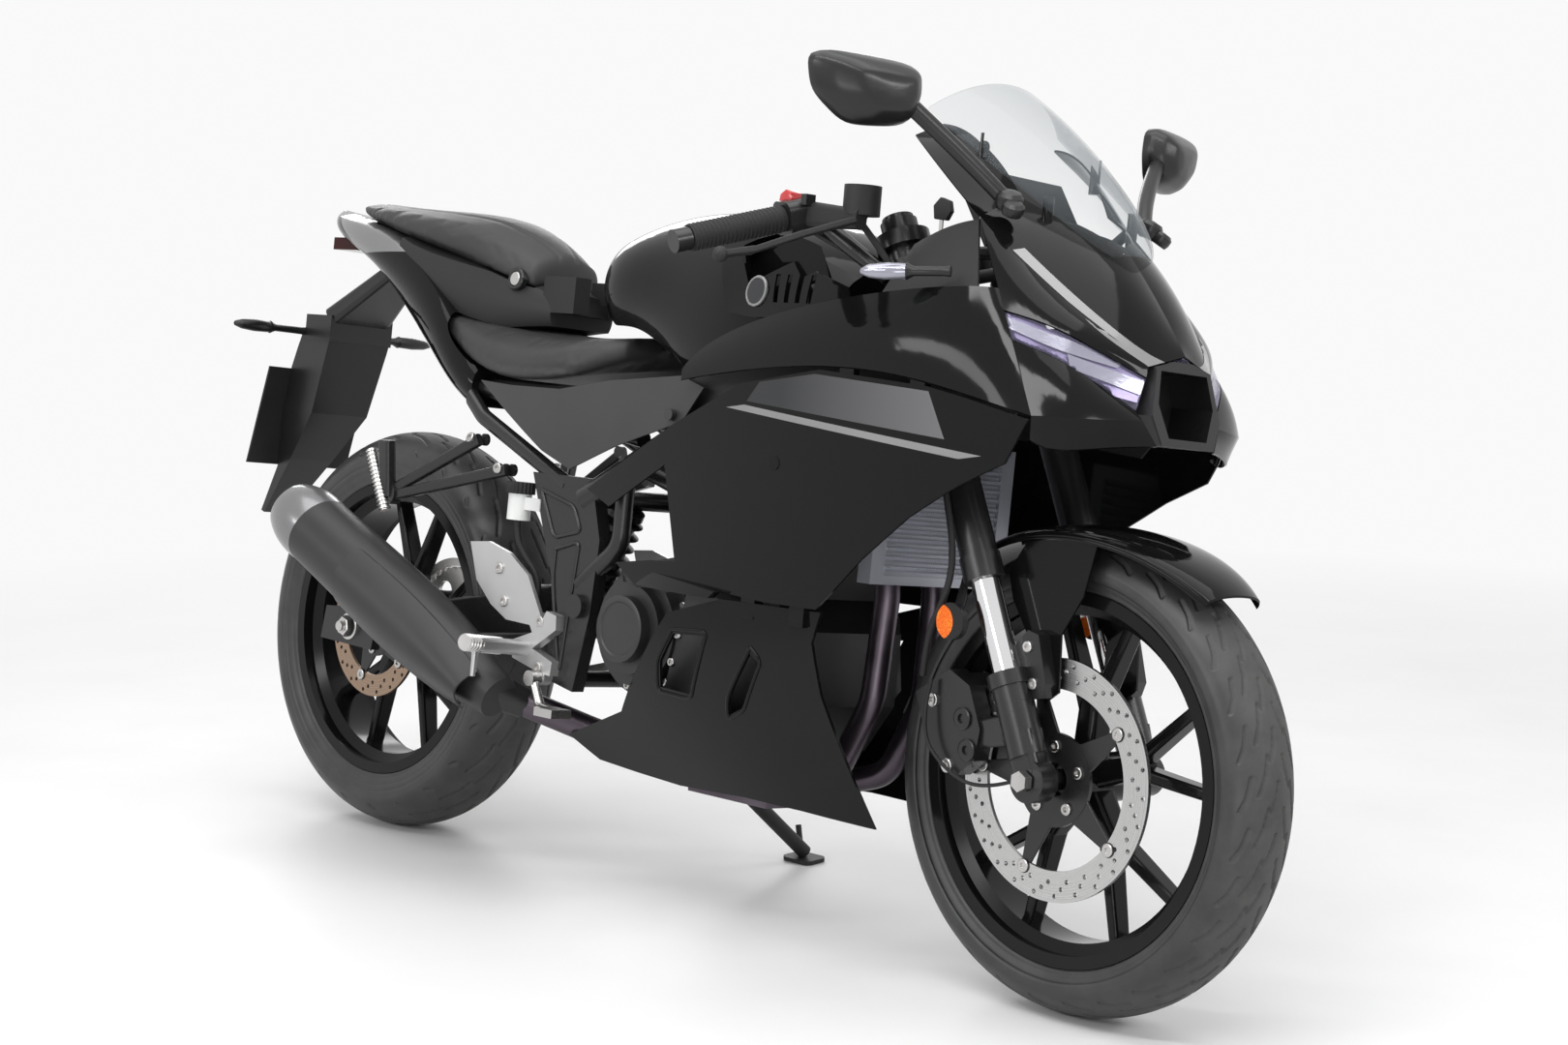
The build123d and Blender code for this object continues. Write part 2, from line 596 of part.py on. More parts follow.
def heat_shield():
    axis = muffler_direction()
    up = Vector(0, 1, 0).cross(axis) * -1
    rows = []
    for along, tall in ((20, 40), (170, 62), (330, 60)):
        base = MUFFLER_START + axis * along
        row = [base + up * (tall * 0.8) + Vector(0, -34, 0), base + Vector(0, -62, 0),
               base - up * (tall * 0.8) + Vector(0, -34, 0)]
        rows.append(row)
    bosses = [cylinder(MUFFLER_START + axis * along, MUFFLER_START + axis * along + Vector(0, -49, 0), 7)
              for along in (90, 290)]
    return skin(rows, (0, -WALL, 0)).fuse(*[boss - muffler() for boss in bosses])


SWING_ARM_Y = 113.0
SHOCK_LOW = Vector(-262, 0, 424)
SHOCK_HIGH = Vector(-210.8, 0, 547)
SHOCK_RADIUS = 30.0


def swingarm():
    """Box-section arms from the pivot tube to the axle plates, with a cross brace."""
    parts = [cylinder((SWING_PIVOT.X, -PLATE_Y + 1, SWING_PIVOT.Z),
                      (SWING_PIVOT.X, PLATE_Y - 1, SWING_PIVOT.Z), 20)]
    for side in (-1, 1):
        y = side * SWING_ARM_Y
        arm = strut(Vector(SWING_PIVOT.X - 8, y, SWING_PIVOT.Z), Vector(REAR_AXLE.X + 40, y + side * 2,
                    REAR_AXLE.Z + 8), (78, 24), (44, 20), (0, 0, 1))
        plate = prism([(REAR_AXLE.X + 70, REAR_AXLE.Z + 34), (REAR_AXLE.X - 66, REAR_AXLE.Z + 26),
                       (REAR_AXLE.X - 74, REAR_AXLE.Z - 26), (REAR_AXLE.X + 60, REAR_AXLE.Z - 30)],
                      y - side * 4, y + side * 12)
        parts.extend([arm, plate])
    parts.append(cylinder((-330, -SWING_ARM_Y, 398), (-330, SWING_ARM_Y, 398), 24))
    up = (SHOCK_HIGH - SHOCK_LOW).normalized()
    cradle = strut((-330, 0, 402), SHOCK_LOW, (52, 36), (44, 30), (0, 1, 0))
    parts.append(cradle - cylinder(SHOCK_LOW - up * FIT, SHOCK_LOW + up * 60, SHOCK_RADIUS * 2))
    solid = parts[0].fuse(*parts[1:])
    return solid.cut(
        cylinder(SWING_PIVOT - Vector(0, 200, 0), SWING_PIVOT + Vector(0, 200, 0), PIVOT_RADIUS + 0.1),
        cylinder(REAR_AXLE - Vector(0, 200, 0), REAR_AXLE + Vector(0, 200, 0), REAR_AXLE_RADIUS + 0.1))


def swing_pivot_bolt():
    reach = PLATE_Y + PLATE_THICK
    shaft = cylinder(SWING_PIVOT - Vector(0, reach, 0), SWING_PIVOT + Vector(0, reach, 0), PIVOT_RADIUS)
    heads = [cylinder(SWING_PIVOT + Vector(0, side * (reach + FIT / 3), 0),
                      SWING_PIVOT + Vector(0, side * (reach + 9), 0), 17) for side in (-1, 1)]
    return shaft.fuse(*heads, cylinder(SWING_PIVOT - Vector(0, reach + 1, 0),
                                       SWING_PIVOT + Vector(0, reach + 1, 0), PIVOT_RADIUS))


REAR_HUB_HALF = 62.0


def rear_axle():
    reach = SWING_ARM_Y + 24
    shaft = cylinder(REAR_AXLE - Vector(0, reach, 0), REAR_AXLE + Vector(0, reach, 0), REAR_AXLE_RADIUS)
    parts = []
    for side in (-1, 1):
        hub_end = REAR_HUB_HALF + 1 if side < 0 else SPROCKET_Y + 5
        parts.append(cylinder(REAR_AXLE + Vector(0, side * (SWING_ARM_Y + 12 + FIT), 0),
                              REAR_AXLE + Vector(0, side * (SWING_ARM_Y + 20), 0), 17))
        parts.append(ring(REAR_AXLE + Vector(0, side * hub_end, 0),
                          REAR_AXLE + Vector(0, side * (SWING_ARM_Y - 9 - FIT), 0), 15,
                          REAR_AXLE_RADIUS - 1))
    return shaft.fuse(*parts)


def shock():
    """Spring and damper between the swingarm's brace and the frame's upper cross tube."""
    low, high = SHOCK_LOW, SHOCK_HIGH
    length = (high - low).length
    turns = 6
    profile = [(0, 0), (SHOCK_RADIUS, 0), (SHOCK_RADIUS, 10)]
    for i in range(turns):
        start = 10 + (length - 20) * i / turns
        step = (length - 20) / turns
        profile += [(24, start + step * 0.2), (34, start + step * 0.5), (24, start + step * 0.8)]
    profile += [(SHOCK_RADIUS, length - 10), (SHOCK_RADIUS, length), (0, length)]
    face = Face(Wire.make_polygon([(r, 0, h) for r, h in profile], close=True))
    return revolve(face, Axis.Z).moved(Location(Plane(low, z_dir=high - low)))


def chain():
    """The drive chain as one loop of side plates and rollers round both sprockets."""
    y = SPROCKET_Y
    rear_radius = CHAIN_PITCH / (2 * sin(pi / SPROCKET_TEETH))
    front_centre, front_radius = DRIVE_SPROCKET, DRIVE_RADIUS
    def hull(grow):
        rear = cylinder(REAR_AXLE + Vector(0, y - 9, 0), REAR_AXLE + Vector(0, y + 9, 0),
                        rear_radius + grow)
        front = cylinder(front_centre + Vector(0, y - 9, 0), front_centre + Vector(0, y + 9, 0),
                         front_radius + grow)
        run = front_centre - REAR_AXLE
        run = Vector(run.X, 0, run.Z)
        lean = (rear_radius - front_radius) / run.length
        along = run.normalized()
        up = Vector(-along.Z, 0, along.X)
        corners = []
        for centre, radius, sign in ((REAR_AXLE, rear_radius, 1), (front_centre, front_radius, 1),
                                     (front_centre, front_radius, -1), (REAR_AXLE, rear_radius, -1)):
            normal = along * lean + up * (sign * (1 - lean * lean) ** 0.5)
            corners.append(centre + normal * (radius + grow))
        return rear.fuse(front, prism([(c.X, c.Z) for c in corners], y - 9, y + 9))
    return hull(CHAIN_BAND) - hull(-CHAIN_BAND)


STAND_PIVOT = Vector(-88, 118, 216)
STAND_BOLT_RADIUS = 6.0


def side_stand():
    """Tube leg with an eye at its pivot, a flat foot and a prop for the boot."""
    foot_x, foot_y = -58.0, 292.0
    foot_z = foot_y * tan(radians(LEAN))
    knee = Vector(STAND_PIVOT.X - 2, STAND_PIVOT.Y + 20, STAND_PIVOT.Z - 42)
    foot = Vector(foot_x, foot_y, foot_z + 12)
    leg = tube([STAND_PIVOT + Vector(0, 6, -6), knee, foot], 11, 30)
    eye = cylinder(STAND_PIVOT + Vector(0, -6, 0), STAND_PIVOT + Vector(0, 12, 0), 18)
    tilt = Plane((foot_x, foot_y, foot_z), x_dir=(1, 0, 0),
                 z_dir=(0, -sin(radians(LEAN)), cos(radians(LEAN))))
    pad = extrude(tilt * RectangleRounded(58, 44, 12), 6)
    prop = tube([foot, foot + Vector(-30, 20, 6), foot + Vector(-40, 22, 34)], 4.5, 10)
    solid = leg.fuse(eye, pad, prop)
    bolt_hole = cylinder(STAND_PIVOT - Vector(0, 40, 0), STAND_PIVOT + Vector(0, 40, 0),
                         STAND_BOLT_RADIUS + RUNNING_FIT)
    head_room = cylinder(STAND_PIVOT + Vector(0, 12, 0), STAND_PIVOT + Vector(0, 60, 0), 13)
    lug_room = cylinder(STAND_PIVOT - Vector(0, 30, 0), STAND_PIVOT - Vector(0, 6, 0), 40)
    return solid.cut(bolt_hole, head_room, lug_room)


def stand_bracket():
    """Lug on the left of the frame that holds the stand's pivot bolt."""
    lug = prism([(-184, 330), (-112, 330), (-72, 250), (-70, 198), (-106, 198), (-140, 250)],
                STAND_PIVOT.Y - 20, STAND_PIVOT.Y - 7)
    step = box((-170, STAND_PIVOT.Y - 20, 315), (-125, PLATE_Y + 4, 328))
    bolt = cylinder(STAND_PIVOT - Vector(0, 20, 0), STAND_PIVOT + Vector(0, 13, 0), STAND_BOLT_RADIUS)
    head = cylinder(STAND_PIVOT + Vector(0, 12.5, 0), STAND_PIVOT + Vector(0, 20, 0), 11)
    return lug.fuse(step, bolt, head) - frame_cross_members()[0]


# ---------------------------------------------------------------- bodywork
TANK = [Section(-226, 834, 36, 872, 60, 915, 34, 926),
        Section(-205, 815, 62, 868, 88, 926, 58, 942),
        Section(-110, 806, 96, 862, 116, 940, 84, 974),
        Section(10, 760, 118, 842, 134, 948, 100, 984),
        Section(140, 748, 128, 836, 150, 936, 118, 976),
        Section(250, 764, 128, 842, 144, 912, 112, 948),
        Section(300, 790, 104, 850, 122, 890, 90, 920)]

SEAT = [Section(-604, 806, 70, 820, 84, 840, 62, 848),
        Section(-520, 764, 104, 782, 118, 812, 92, 822),
        Section(-400, 726, 130, 744, 142, 786, 112, 800),
        Section(-230, 724, 132, 744, 146, 782, 104, 793),
        Section(-135, 756, 86, 774, 96, 792, 66, 800)]

PILLION = [Section(-872, 966, 40, 974, 50, 986, 36, 992),
           Section(-760, 946, 76, 958, 86, 974, 64, 984),
           Section(-630, 920, 90, 936, 100, 962, 74, 978),
           Section(-500, 888, 84, 906, 94, 944, 66, 964),
           Section(-392, 856, 58, 872, 68, 906, 44, 916)]

TAIL = [Section(-978, 962, 8, 968, 12, 978, 8, 982),
        Section(-880, 924, 44, 940, 72, 960, 66, 968),
        Section(-740, 860, 74, 892, 94, 930, 88, 940),
        Section(-600, 764, 92, 800, 112, 862, 100, 880),
        Section(-440, 676, 112, 700, 126, 730, 118, 738)]

# The block under the pillion seat, from the tail's slope to its front face.
SEAT_BASE = [Section(-700, 880, 76, 900, 90, 930, 86, 940),
             Section(-560, 800, 84, 850, 96, 896, 88, 910),
             Section(-430, 800, 74, 830, 82, 872, 70, 882),
             Section(-352, 806, 56, 826, 62, 850, 54, 858)]

# Edge curves of the front cowl's right side, each from the nose backwards.
CREST = [(762, -62, 800), (712, -100, 842), (640, -138, 897), (560, -162, 965)]
CREST_BACK = [(560, -162, 965), (520, -166, 1000), (480, -166, 1034), (440, -161, 1066)]
RIDGE = [(768, 0, 818), (722, 0, 878), (650, 0, 958), (560, 0, 1036)]
RIDGE_BACK = [(560, 0, 1036), (520, 0, 1072), (480, 0, 1106), (440, 0, 1136)]
SEAM_LOW = (706, -203, 727)


def on_seam(share):
    """The straight edge from the crest's end down to the cheek, shared by flank, wing and cheek."""
    high, low = Vector(CREST[-1]), Vector(SEAM_LOW)
    return high + (low - high) * share


LAMP_TOP = [(763, -66, 787), (716, -128, 820), (680, -160, 838), on_seam(0.48)]
LAMP_LOW = [(764, -80, 745), (722, -145, 785), (692, -172, 802), on_seam(0.63)]
CHEEK = [(772, -78, 736), (760, -130, 731), (735, -175, 729), SEAM_LOW]
CHIN = [(783, -58, 706), (752, -130, 697), (722, -165, 691), (691, -183, 699)]
WING_TOP = [on_seam(0.37), (477, -202, 868), (242, -192, 828), (75, -180, 752)]
WING_LOW = [SEAM_LOW, (548, -213, 757), (367, -212, 768), (75, -180, 738)]
COWL_INWARD = (-2.0, 2.0, -1.4)


def fuel_tank():
    neck = cylinder(on_steering_axis(HEAD_TUBE_LOW - 60), on_steering_axis(HEAD_TUBE_HIGH + 90), 40)
    tunnels = [main_rail(side, FRAME_TUBE + FIT) for side in (-1, 1)]
    return body(TANK).cut(neck, *tunnels, *switchgear_sweep())


BAR_SWEEP = (145.0, 190.0, 712.0)      # inner and outer radius about the steering axis, lowest height
SWITCH_SWEEP = (185.0, 250.0, 743.0)
SWEEP_TOP = 818.0


def switchgear_sweep():
    """The space at the tank's front corners that the bars and switch housings need at full lock."""
    paths = [ring(on_steering_axis(low), on_steering_axis(SWEEP_TOP), outer, inner)
             for inner, outer, low in (BAR_SWEEP, SWITCH_SWEEP)]
    corners = [box((80, side * 149 - 53, 840), (330, side * 149 + 53, 1010)) for side in (-1, 1)]
    return [path & corner for path in paths for corner in corners]


def grown(sections, by):
    """The same sections, larger by a clearance all round."""
    out = []
    for i, s in enumerate(sections):
        x = s.x - by if i == 0 else s.x + by if i == len(sections) - 1 else s.x
        out.append(Section(x, s.low - by, s.low_half + by, s.mid, s.mid_half + by,
                           s.shoulder + by, s.shoulder_half + by, s.top + by))
    return out


def tail_cowl():
    """Tail moulding with the seat's pocket and the lamp's recess."""
    return body(TAIL).cut(body(grown(SEAT, 0.5)), body(grown(PILLION, 0.5)), tail_light(FIT))


def seat_base():
    """Matte block that carries the pillion seat, with a box at each side of its front."""
    sides = [box((-372, min(y, y + 30), 826), (-300, max(y, y + 30), 880)) for y in (-62, 32)]
    block = body(SEAT_BASE).fuse(*sides, box((-372, -40, 826), (-330, 40, 846)))
    return block.cut(body(TAIL), body(grown(SEAT, 0.5)), body(grown(PILLION, 0.5)))


def between(top, low, bulge=(0, 0, 0)):
    """Three rows from one edge curve to another, bowed by bulge away from the curves' ends."""
    last = len(top) - 1
    middle = []
    for i, (a, b) in enumerate(zip(top, low)):
        share = 0 if i in (0, last) else 1
        middle.append((Vector(a) + Vector(b)) / 2 + Vector(bulge) * share)
    return [top, middle, low]


def nose_rows():
    return between(RIDGE, CREST, (2, 0, 16))


def brow_rows():
    return between(RIDGE_BACK, CREST_BACK, (2, 0, 18))


def flank_rows():
    return between(CREST, LAMP_TOP, (2, -4, 2))


def wing_rows():
    return between(WING_TOP, WING_LOW, (0, -6, 0))


def front_cowl():
    """Nose, flanks and side wings as one moulding, open for the screen, lamps and duct."""
    patches = [nose_rows(), brow_rows(), flank_rows(),
               between(LAMP_LOW, CHEEK, (3, -3, 0)), between(CHEEK, CHIN), wing_rows()]
    right = [skin(rows, COWL_INWARD) for rows in patches]
    half = right[0].fuse(*right[1:]) - box((380, 0, 650), (850, 60, 1250))
    opening = Solid.extrude(Face(Wire.make_polygon(
        [(660, 0, 700), (645, -34, 700), (598, -76, 700), (500, -106, 700), (380, -118, 700),
         (380, 118, 700), (500, 106, 700), (598, 76, 700), (645, 34, 700)], close=True)),
        Vector(0, 0, 500))
    pads = [cylinder((x, side * y, z - 6), (x, side * y, z + 40), 7)
            for side in (-1, 1) for x, y, z in SCREEN_PADS]
    screen_room = beyond(SCREEN, (0, 0, 90), (-SCREEN_WALL, 0, -SCREEN_WALL - FIT))
    return (half.fuse(mirrored(half)) - opening).fuse(*[pad - screen_room for pad in pads])


SCREEN = [[(672, -40, 934), (690, -14, 938), (690, 14, 938), (672, 40, 934)],
          [(612, -90, 982), (640, -34, 1000), (640, 34, 1000), (612, 90, 982)],
          [(518, -118, 1046), (560, -42, 1074), (560, 42, 1074), (518, 118, 1046)],
          [(430, -130, 1106), (452, -46, 1148), (452, 46, 1148), (430, 130, 1106)]]
SCREEN_WALL = 2.2
SCREEN_PADS = [(602, 85, 960), (512, 112, 1034)]    # rubber seats under the screen's edge


def windscreen():
    return skin(SCREEN, (-SCREEN_WALL, 0, -SCREEN_WALL))


def headlight():
    """Right-hand lamp: a housing closed by its lens."""
    top = [Vector(p) + Vector(-1, 1, -2.2) for p in LAMP_TOP]
    low = [Vector(p) + Vector(-1, 1, 1.4) for p in LAMP_LOW]
    return skin([top, low], (-28, 8, 0)) - skin(wing_rows(), COWL_INWARD)


def nose_duct():
    """Open trapezoid mouth between the lamps."""
    rim_edge = [(20, 810), (54, 801), (68, 742), (52, 707)]
    mouth = [(46, 797), (55, 757), (38, 717)]
    def face(points, ahead):
        """Half-widths and heights on the duct's front plane, which leans back."""
        points = [Vector(768 + ahead + (804 - z) * 0.19, y, z) for y, z in points]
        return Face(Wire.make_polygon(points + [Vector(p.X, -p.Y, p.Z) for p in reversed(points)],
                                      close=True))
    back = Vector(-70, 0, 0)
    shell = Solid.extrude(face(rim_edge, 0), back) - Solid.extrude(face(mouth, 1), back * 0.9)
    roof = beyond(nose_rows(), (0, 0, 60), Vector(COWL_INWARD) - Vector(0, 0, FIT))
    return shell.cut(roof, mirrored(roof))


def side_rows():
    return [[(-115, -174, 780), (160, -205, 780), (430, -216, 780), (715, -204, 780)],
            [(-115, -170, 620), (160, -202, 620), (430, -214, 620), (715, -198, 620)],
            [(-115, -160, 440), (160, -196, 440), (430, -202, 440), (715, -186, 440)]]


def side_fairing():
    """Right-hand upper panel, with tabs behind the cowl and a boss on the frame's down tube."""
    outline = [(-107, 576), (83, 676), (220, 738), (367, 763), (548, 752), (612, 741), (702, 722),
               (674, 668), (609, 637), (537, 592), (464, 533), (417, 487), (390, 462), (295, 461),
               (216, 465), (30, 452), (-24, 481), (60, 492), (112, 495), (74, 622), (-50, 556)]
    panel = skin(side_rows(), (0, WALL, 0)) & prism(outline, -260, -100)
    cowl_room = beyond(wing_rows(), (0, -60, 0), Vector(COWL_INWARD) + Vector(0, FIT, 0))
    tabs = [box((x, -213.5, 746), (x + 24, -203, 790)) - cowl_room for x in (400, 520)]
    boss = cylinder((300, -213, 640), (300, -116, 640), 9) - down_tube(-1)
    blade = skin([[(-24, -165, 481), (100, -196, 474), (216, -216, 465)],
                  [(-10, -172, 456), (100, -201, 455), (205, -216, 456)]], (0, 12, 0))
    return panel.fuse(boss, blade, *tabs)


def lower_fairing():
    rows = [[(-180, -180, 470), (30, -200, 470), (240, -202, 470), (450, -188, 470)],
            [(-180, -150, 340), (30, -180, 340), (240, -182, 340), (450, -158, 340)],
            [(-180, -88, 180), (30, -106, 180), (240, -120, 180), (450, -100, 180)]]
    outline = [(388, 458), (373, 418), (383, 351), (411, 268), (438, 188), (324, 193), (220, 194),
               (83, 187), (-19, 190), (-102, 194), (-166, 221), (-11, 276), (116, 427), (216, 456),
               (295, 457)]
    shell = skin(rows, (0, WALL * 1.6, 0)) & prism(outline, -260, -60)
    seam_room = beyond(side_rows(), (0, -60, 0), (0, WALL + FIT, 0))
    tabs = [box((x, -200, 436), (x + 26, -184, 482)) - seam_room for x in (250, 340)]
    window = prism([(128, 400), (186, 404), (170, 366), (150, 322), (92, 324), (98, 360)], -260, -60)
    slit = prism([(268, 392), (284, 380), (250, 318), (222, 304), (226, 330)], -260, -60)
    return shell.cut(window, slit).fuse(*tabs)


def trim_rows():
    return [[(552, -154, 962), (505, -156, 952), (448, -152, 930)],
            [(586, -181.8, 870), (516, -195, 862), (440, -199.3, 858)]]


def cover_rows():
    return [[(98, -146, 918), (190, -150, 916), (290, -152, 906), (386, -164, 880)],
            [(98, -158, 872), (190, -164, 870), (290, -172, 862), (386, -176, 848)],
            [(98, -154, 824), (190, -166, 826), (290, -180, 826), (386, -184, 824)]]


def tank_cover():
    """Panel on the tank's right flank, with a round boss and four slanted vents."""
    outline = [(102, 912), (128, 834), (176, 828), (330, 828), (380, 836), (356, 872), (292, 890),
               (250, 906), (150, 916)]
    panel = skin(cover_rows(), (0, WALL, 0)) & prism(outline, -260, -60)
    boss = cylinder((190, -160, 862), (190, -120, 862), 17) - body(grown(TANK, FIT))
    slots = [prism([(x, 848), (x + 9, 848), (x + 2, 886), (x - 7, 886)], -260, -60)
             for x in (226, 248, 270, 292)]
    return panel.cut(*slots, *switchgear_sweep()).fuse(boss)


def inner_trim():
    """Matte panel between the cowl's side and the tank, on the right."""
    return skin(trim_rows(), (0, WALL, 0))


def side_cover():
    """Matte cover below the seat's front, on the right."""
    rows = [[(-420, -128, 735), (-250, -146, 722), (-80, -150, 745), (118, -160, 752)],
            [(-420, -130, 640), (-250, -154, 640), (-80, -164, 640), (118, -178, 640)],
            [(-420, -128, 560), (-250, -150, 560), (-80, -160, 560), (118, -172, 560)]]
    outline = [(-416, 716), (-330, 712), (-210, 712), (-100, 730), (50, 744), (104, 730), (74, 682),
               (-60, 640), (-160, 600), (-230, 622), (-330, 672)]
    boss = cylinder((52, -176, 690), (52, -140, 690), 8) - main_frame(-1)
    return (skin(rows, (0, WALL, 0)) & prism(outline, -260, -60)).fuse(boss)


def mirror_unit():
    """Right-hand mirror head on its stalk."""
    base = Vector(581, -134, 990)
    knee = Vector(548, -168, 1026)
    neck = Vector(505, -252, 1090)
    stalk = tube([base, knee, neck], 11, 20)
    foot = strut(base + Vector(18, 14, -16), base + Vector(-26, -10, 12), (44, 20), (34, 20), (0, 1, 0))
    glass = [(-374, 1136), (-364, 1090), (-318, 1056), (-250, 1064), (-236, 1100), (-240, 1136)]
    wires = []
    for x, size, drop in ((-2, 1.0, 0), (22, 0.94, -1), (44, 0.6, -4)):
        points = []
        for y, z in glass:
            y, z = -290 + (y + 290) * size, 1102 + (z - 1102) * size + drop
            points.append((474 + x + (y + 290) * 0.28, y, z))
        wires.append(Wire.make_polygon(points, close=True))
    head = Solid.make_loft(wires, True)
    under = [beyond(rows, (0, 0, -60), (0, 0, FIT)) for rows in (nose_rows(), brow_rows())]
    return head.fuse(stalk, foot).cut(*under)


def front_indicator():
    """Right-hand front indicator: stalk and lens pod, on the inner trim."""
    root = Vector(548, -176, 894)
    tip = Vector(487, -248, 887)
    knee = Vector(526, -214, 890)
    stalk = strut(root, knee, (18, 14), (12, 10), (0, 0, 1))
    stalk = stalk - beyond(trim_rows(), (0, 60, 0), (0, -FIT, 0))
    pod = strut(knee + Vector(6, 6, 0), tip + Vector(-12, -8, 0), (24, 20), (14, 12), (0, 0, 1))
    return stalk.fuse(pod)


def rear_indicator():
    stalk = strut(Vector(-918, -65, 786), Vector(-940, -124, 778), (14, 12), (12, 10), (0, 0, 1))
    pod = strut(Vector(-938, -120, 778), Vector(-950, -176, 773), (24, 22), (16, 14), (0, 0, 1))
    return stalk.fuse(pod)


def rear_fender():
    """Plate carrier behind the tail with its long mudguard."""
    arms = strut((-786, 0, 892), (-920, 0, 800), (60, 26), (120, 34), (0, 1, 0))
    head = box((-975, -62, 760), (-905, 62, 802))
    guard = prism([(-905, 770), (-985, 770), (-1010, 712), (-1052, 545), (-1108, 466), (-1100, 463),
                   (-1012, 560), (-945, 640)], -60, 60)
    taper = Solid.extrude(Face(Wire.make_polygon(
        [(-800, y, z) for y, z in ((-62, 802), (62, 802), (56, 640), (24, 455), (-24, 455), (-56, 640))],
        close=True)), Vector(-400, 0, 0))
    return arms.fuse(head, guard & taper) - body(TAIL)


def licence_plate():
    """Bare plate on the rear of the mudguard."""
    return prism([(-1010.4, 710), (-1014.4, 710), (-1056.4, 547), (-1052.4, 547)], -100, 100) \
        - rear_fender()


def tail_light(clearance=0.0):
    c = Vector(clearance, clearance, clearance)
    return box(Vector(-946, -42, 912) - c, Vector(-880, 42, 932) + c)


def peg_bracket():
    """Right-hand rider's step: cast bracket, peg and heel guard."""
    y = -(PLATE_Y + PLATE_THICK + FIT)
    bracket = prism([(-150, 392), (-148, 372), (-196, 340), (-150, 326), (-152, 306), (-176, 308),
                     (-238, 322), (-240, 348), (-190, 366), (-172, 396)], y, y - 16)
    bracket = bracket.fuse(cylinder((-176, y, 303), (-176, y - 16, 303), 13))
    guard = prism([(-360, 478), (-318, 482), (-268, 470), (-222, 442), (-186, 388), (-196, 372),
                   (-262, 374), (-300, 392), (-338, 424)], y - 8, y - 14)
    link = prism([(-222, 392), (-190, 392), (-170, 370), (-200, 360)], y - 2, y - 14)
    peg = strut((-214, y - 10, 338), (-196, y - 128, 346), (26, 22), (28, 20), (1, 0, 0))
    feeler = strut((-194, y - 120, 336), (-192, y - 122, 300), (8, 8), (6, 6), (1, 0, 0))
    return bracket.fuse(guard, link, peg, feeler)


def brake_pedal():
    near = -(PLATE_Y + PLATE_THICK + 16 + FIT * 2)
    y = near - 9
    arm = tube([(-176, y, 300), (-150, y - 4, 262), (-96, y - 20, 262)], 7, 14)
    pad = box((-116, y - 44, 256), (-78, y - 8, 268))
    pivot = cylinder((-176, near, 300), (-176, y - 9, 300), 11)
    return arm.fuse(pad, pivot)


def pillion_bracket():
    """Right-hand Y-shaped hanger of the passenger step and muffler."""
    y = -(SUBFRAME_TUBE + 131)
    upper = strut((-388, y, 628), (-556, y - 26, 536), (18, 12), (16, 12), (0, 0, 1))
    lower = strut((-318, y, 588), (-556, y - 26, 528), (18, 12), (16, 12), (0, 0, 1))
    knot = cylinder((-556, y - 18, 532), (-556, y - 34, 532), 17)
    peg = strut((-560, y - 30, 528), (-560, y - 40, 612), (24, 18), (26, 18), (1, 0, 0))
    bosses = [cylinder((x, y + 8, z), (x, -130, z), 9) for x, z in ((-388, 628), (-318, 588))]
    return upper.fuse(lower, knot, peg, *bosses) - main_frame(-1)


def fluid_reservoir():
    y = -(PLATE_Y + 20)
    cup = cylinder((-276, y, 518), (-276, y, 556), 17)
    cap = cylinder((-276, y, 556), (-276, y, 571), 19)
    ear = box((-262, y - 4, 534), (-226, y + 4, 552))
    return cup.fuse(cap, ear) - main_frame(-1)


def dashboard():
    case = Solid.make_box(34, 170, 96, Plane((-17, -85, -48)))
    case = case.rotate(Axis.Y, -34).moved(Location((492, 0, 986)))
    stays = [tube([(392, 0, 900), (470, 0, 912), (492, 0, 950)], 9, 30)]
    cowl_room = beyond(nose_rows(), (0, 0, 60), Vector(COWL_INWARD) - Vector(0, 0, FIT))
    arm = tube([(466, 0, 908), (545, -70, 925), (578, -124, 990)], 7, 25) - cowl_room
    return case.fuse(arm, mirrored(arm), *stays) - cylinder(on_steering_axis(HEAD_TUBE_LOW), on_steering_axis(HEAD_TUBE_HIGH + 20),
                                      HEAD_TUBE_RADIUS)


# ---------------------------------------------------------------- assembly
STEER_LINE = Axis(STEER_GROUND, STEER_DIR)
TILT_LINE = Axis((0, 0, 0), (1, 0, 0))

FIXED, STEERED, FRONT_WHEEL, REAR_WHEEL, STAND = "fixed", "steered", "front_wheel", "rear_wheel", "stand"


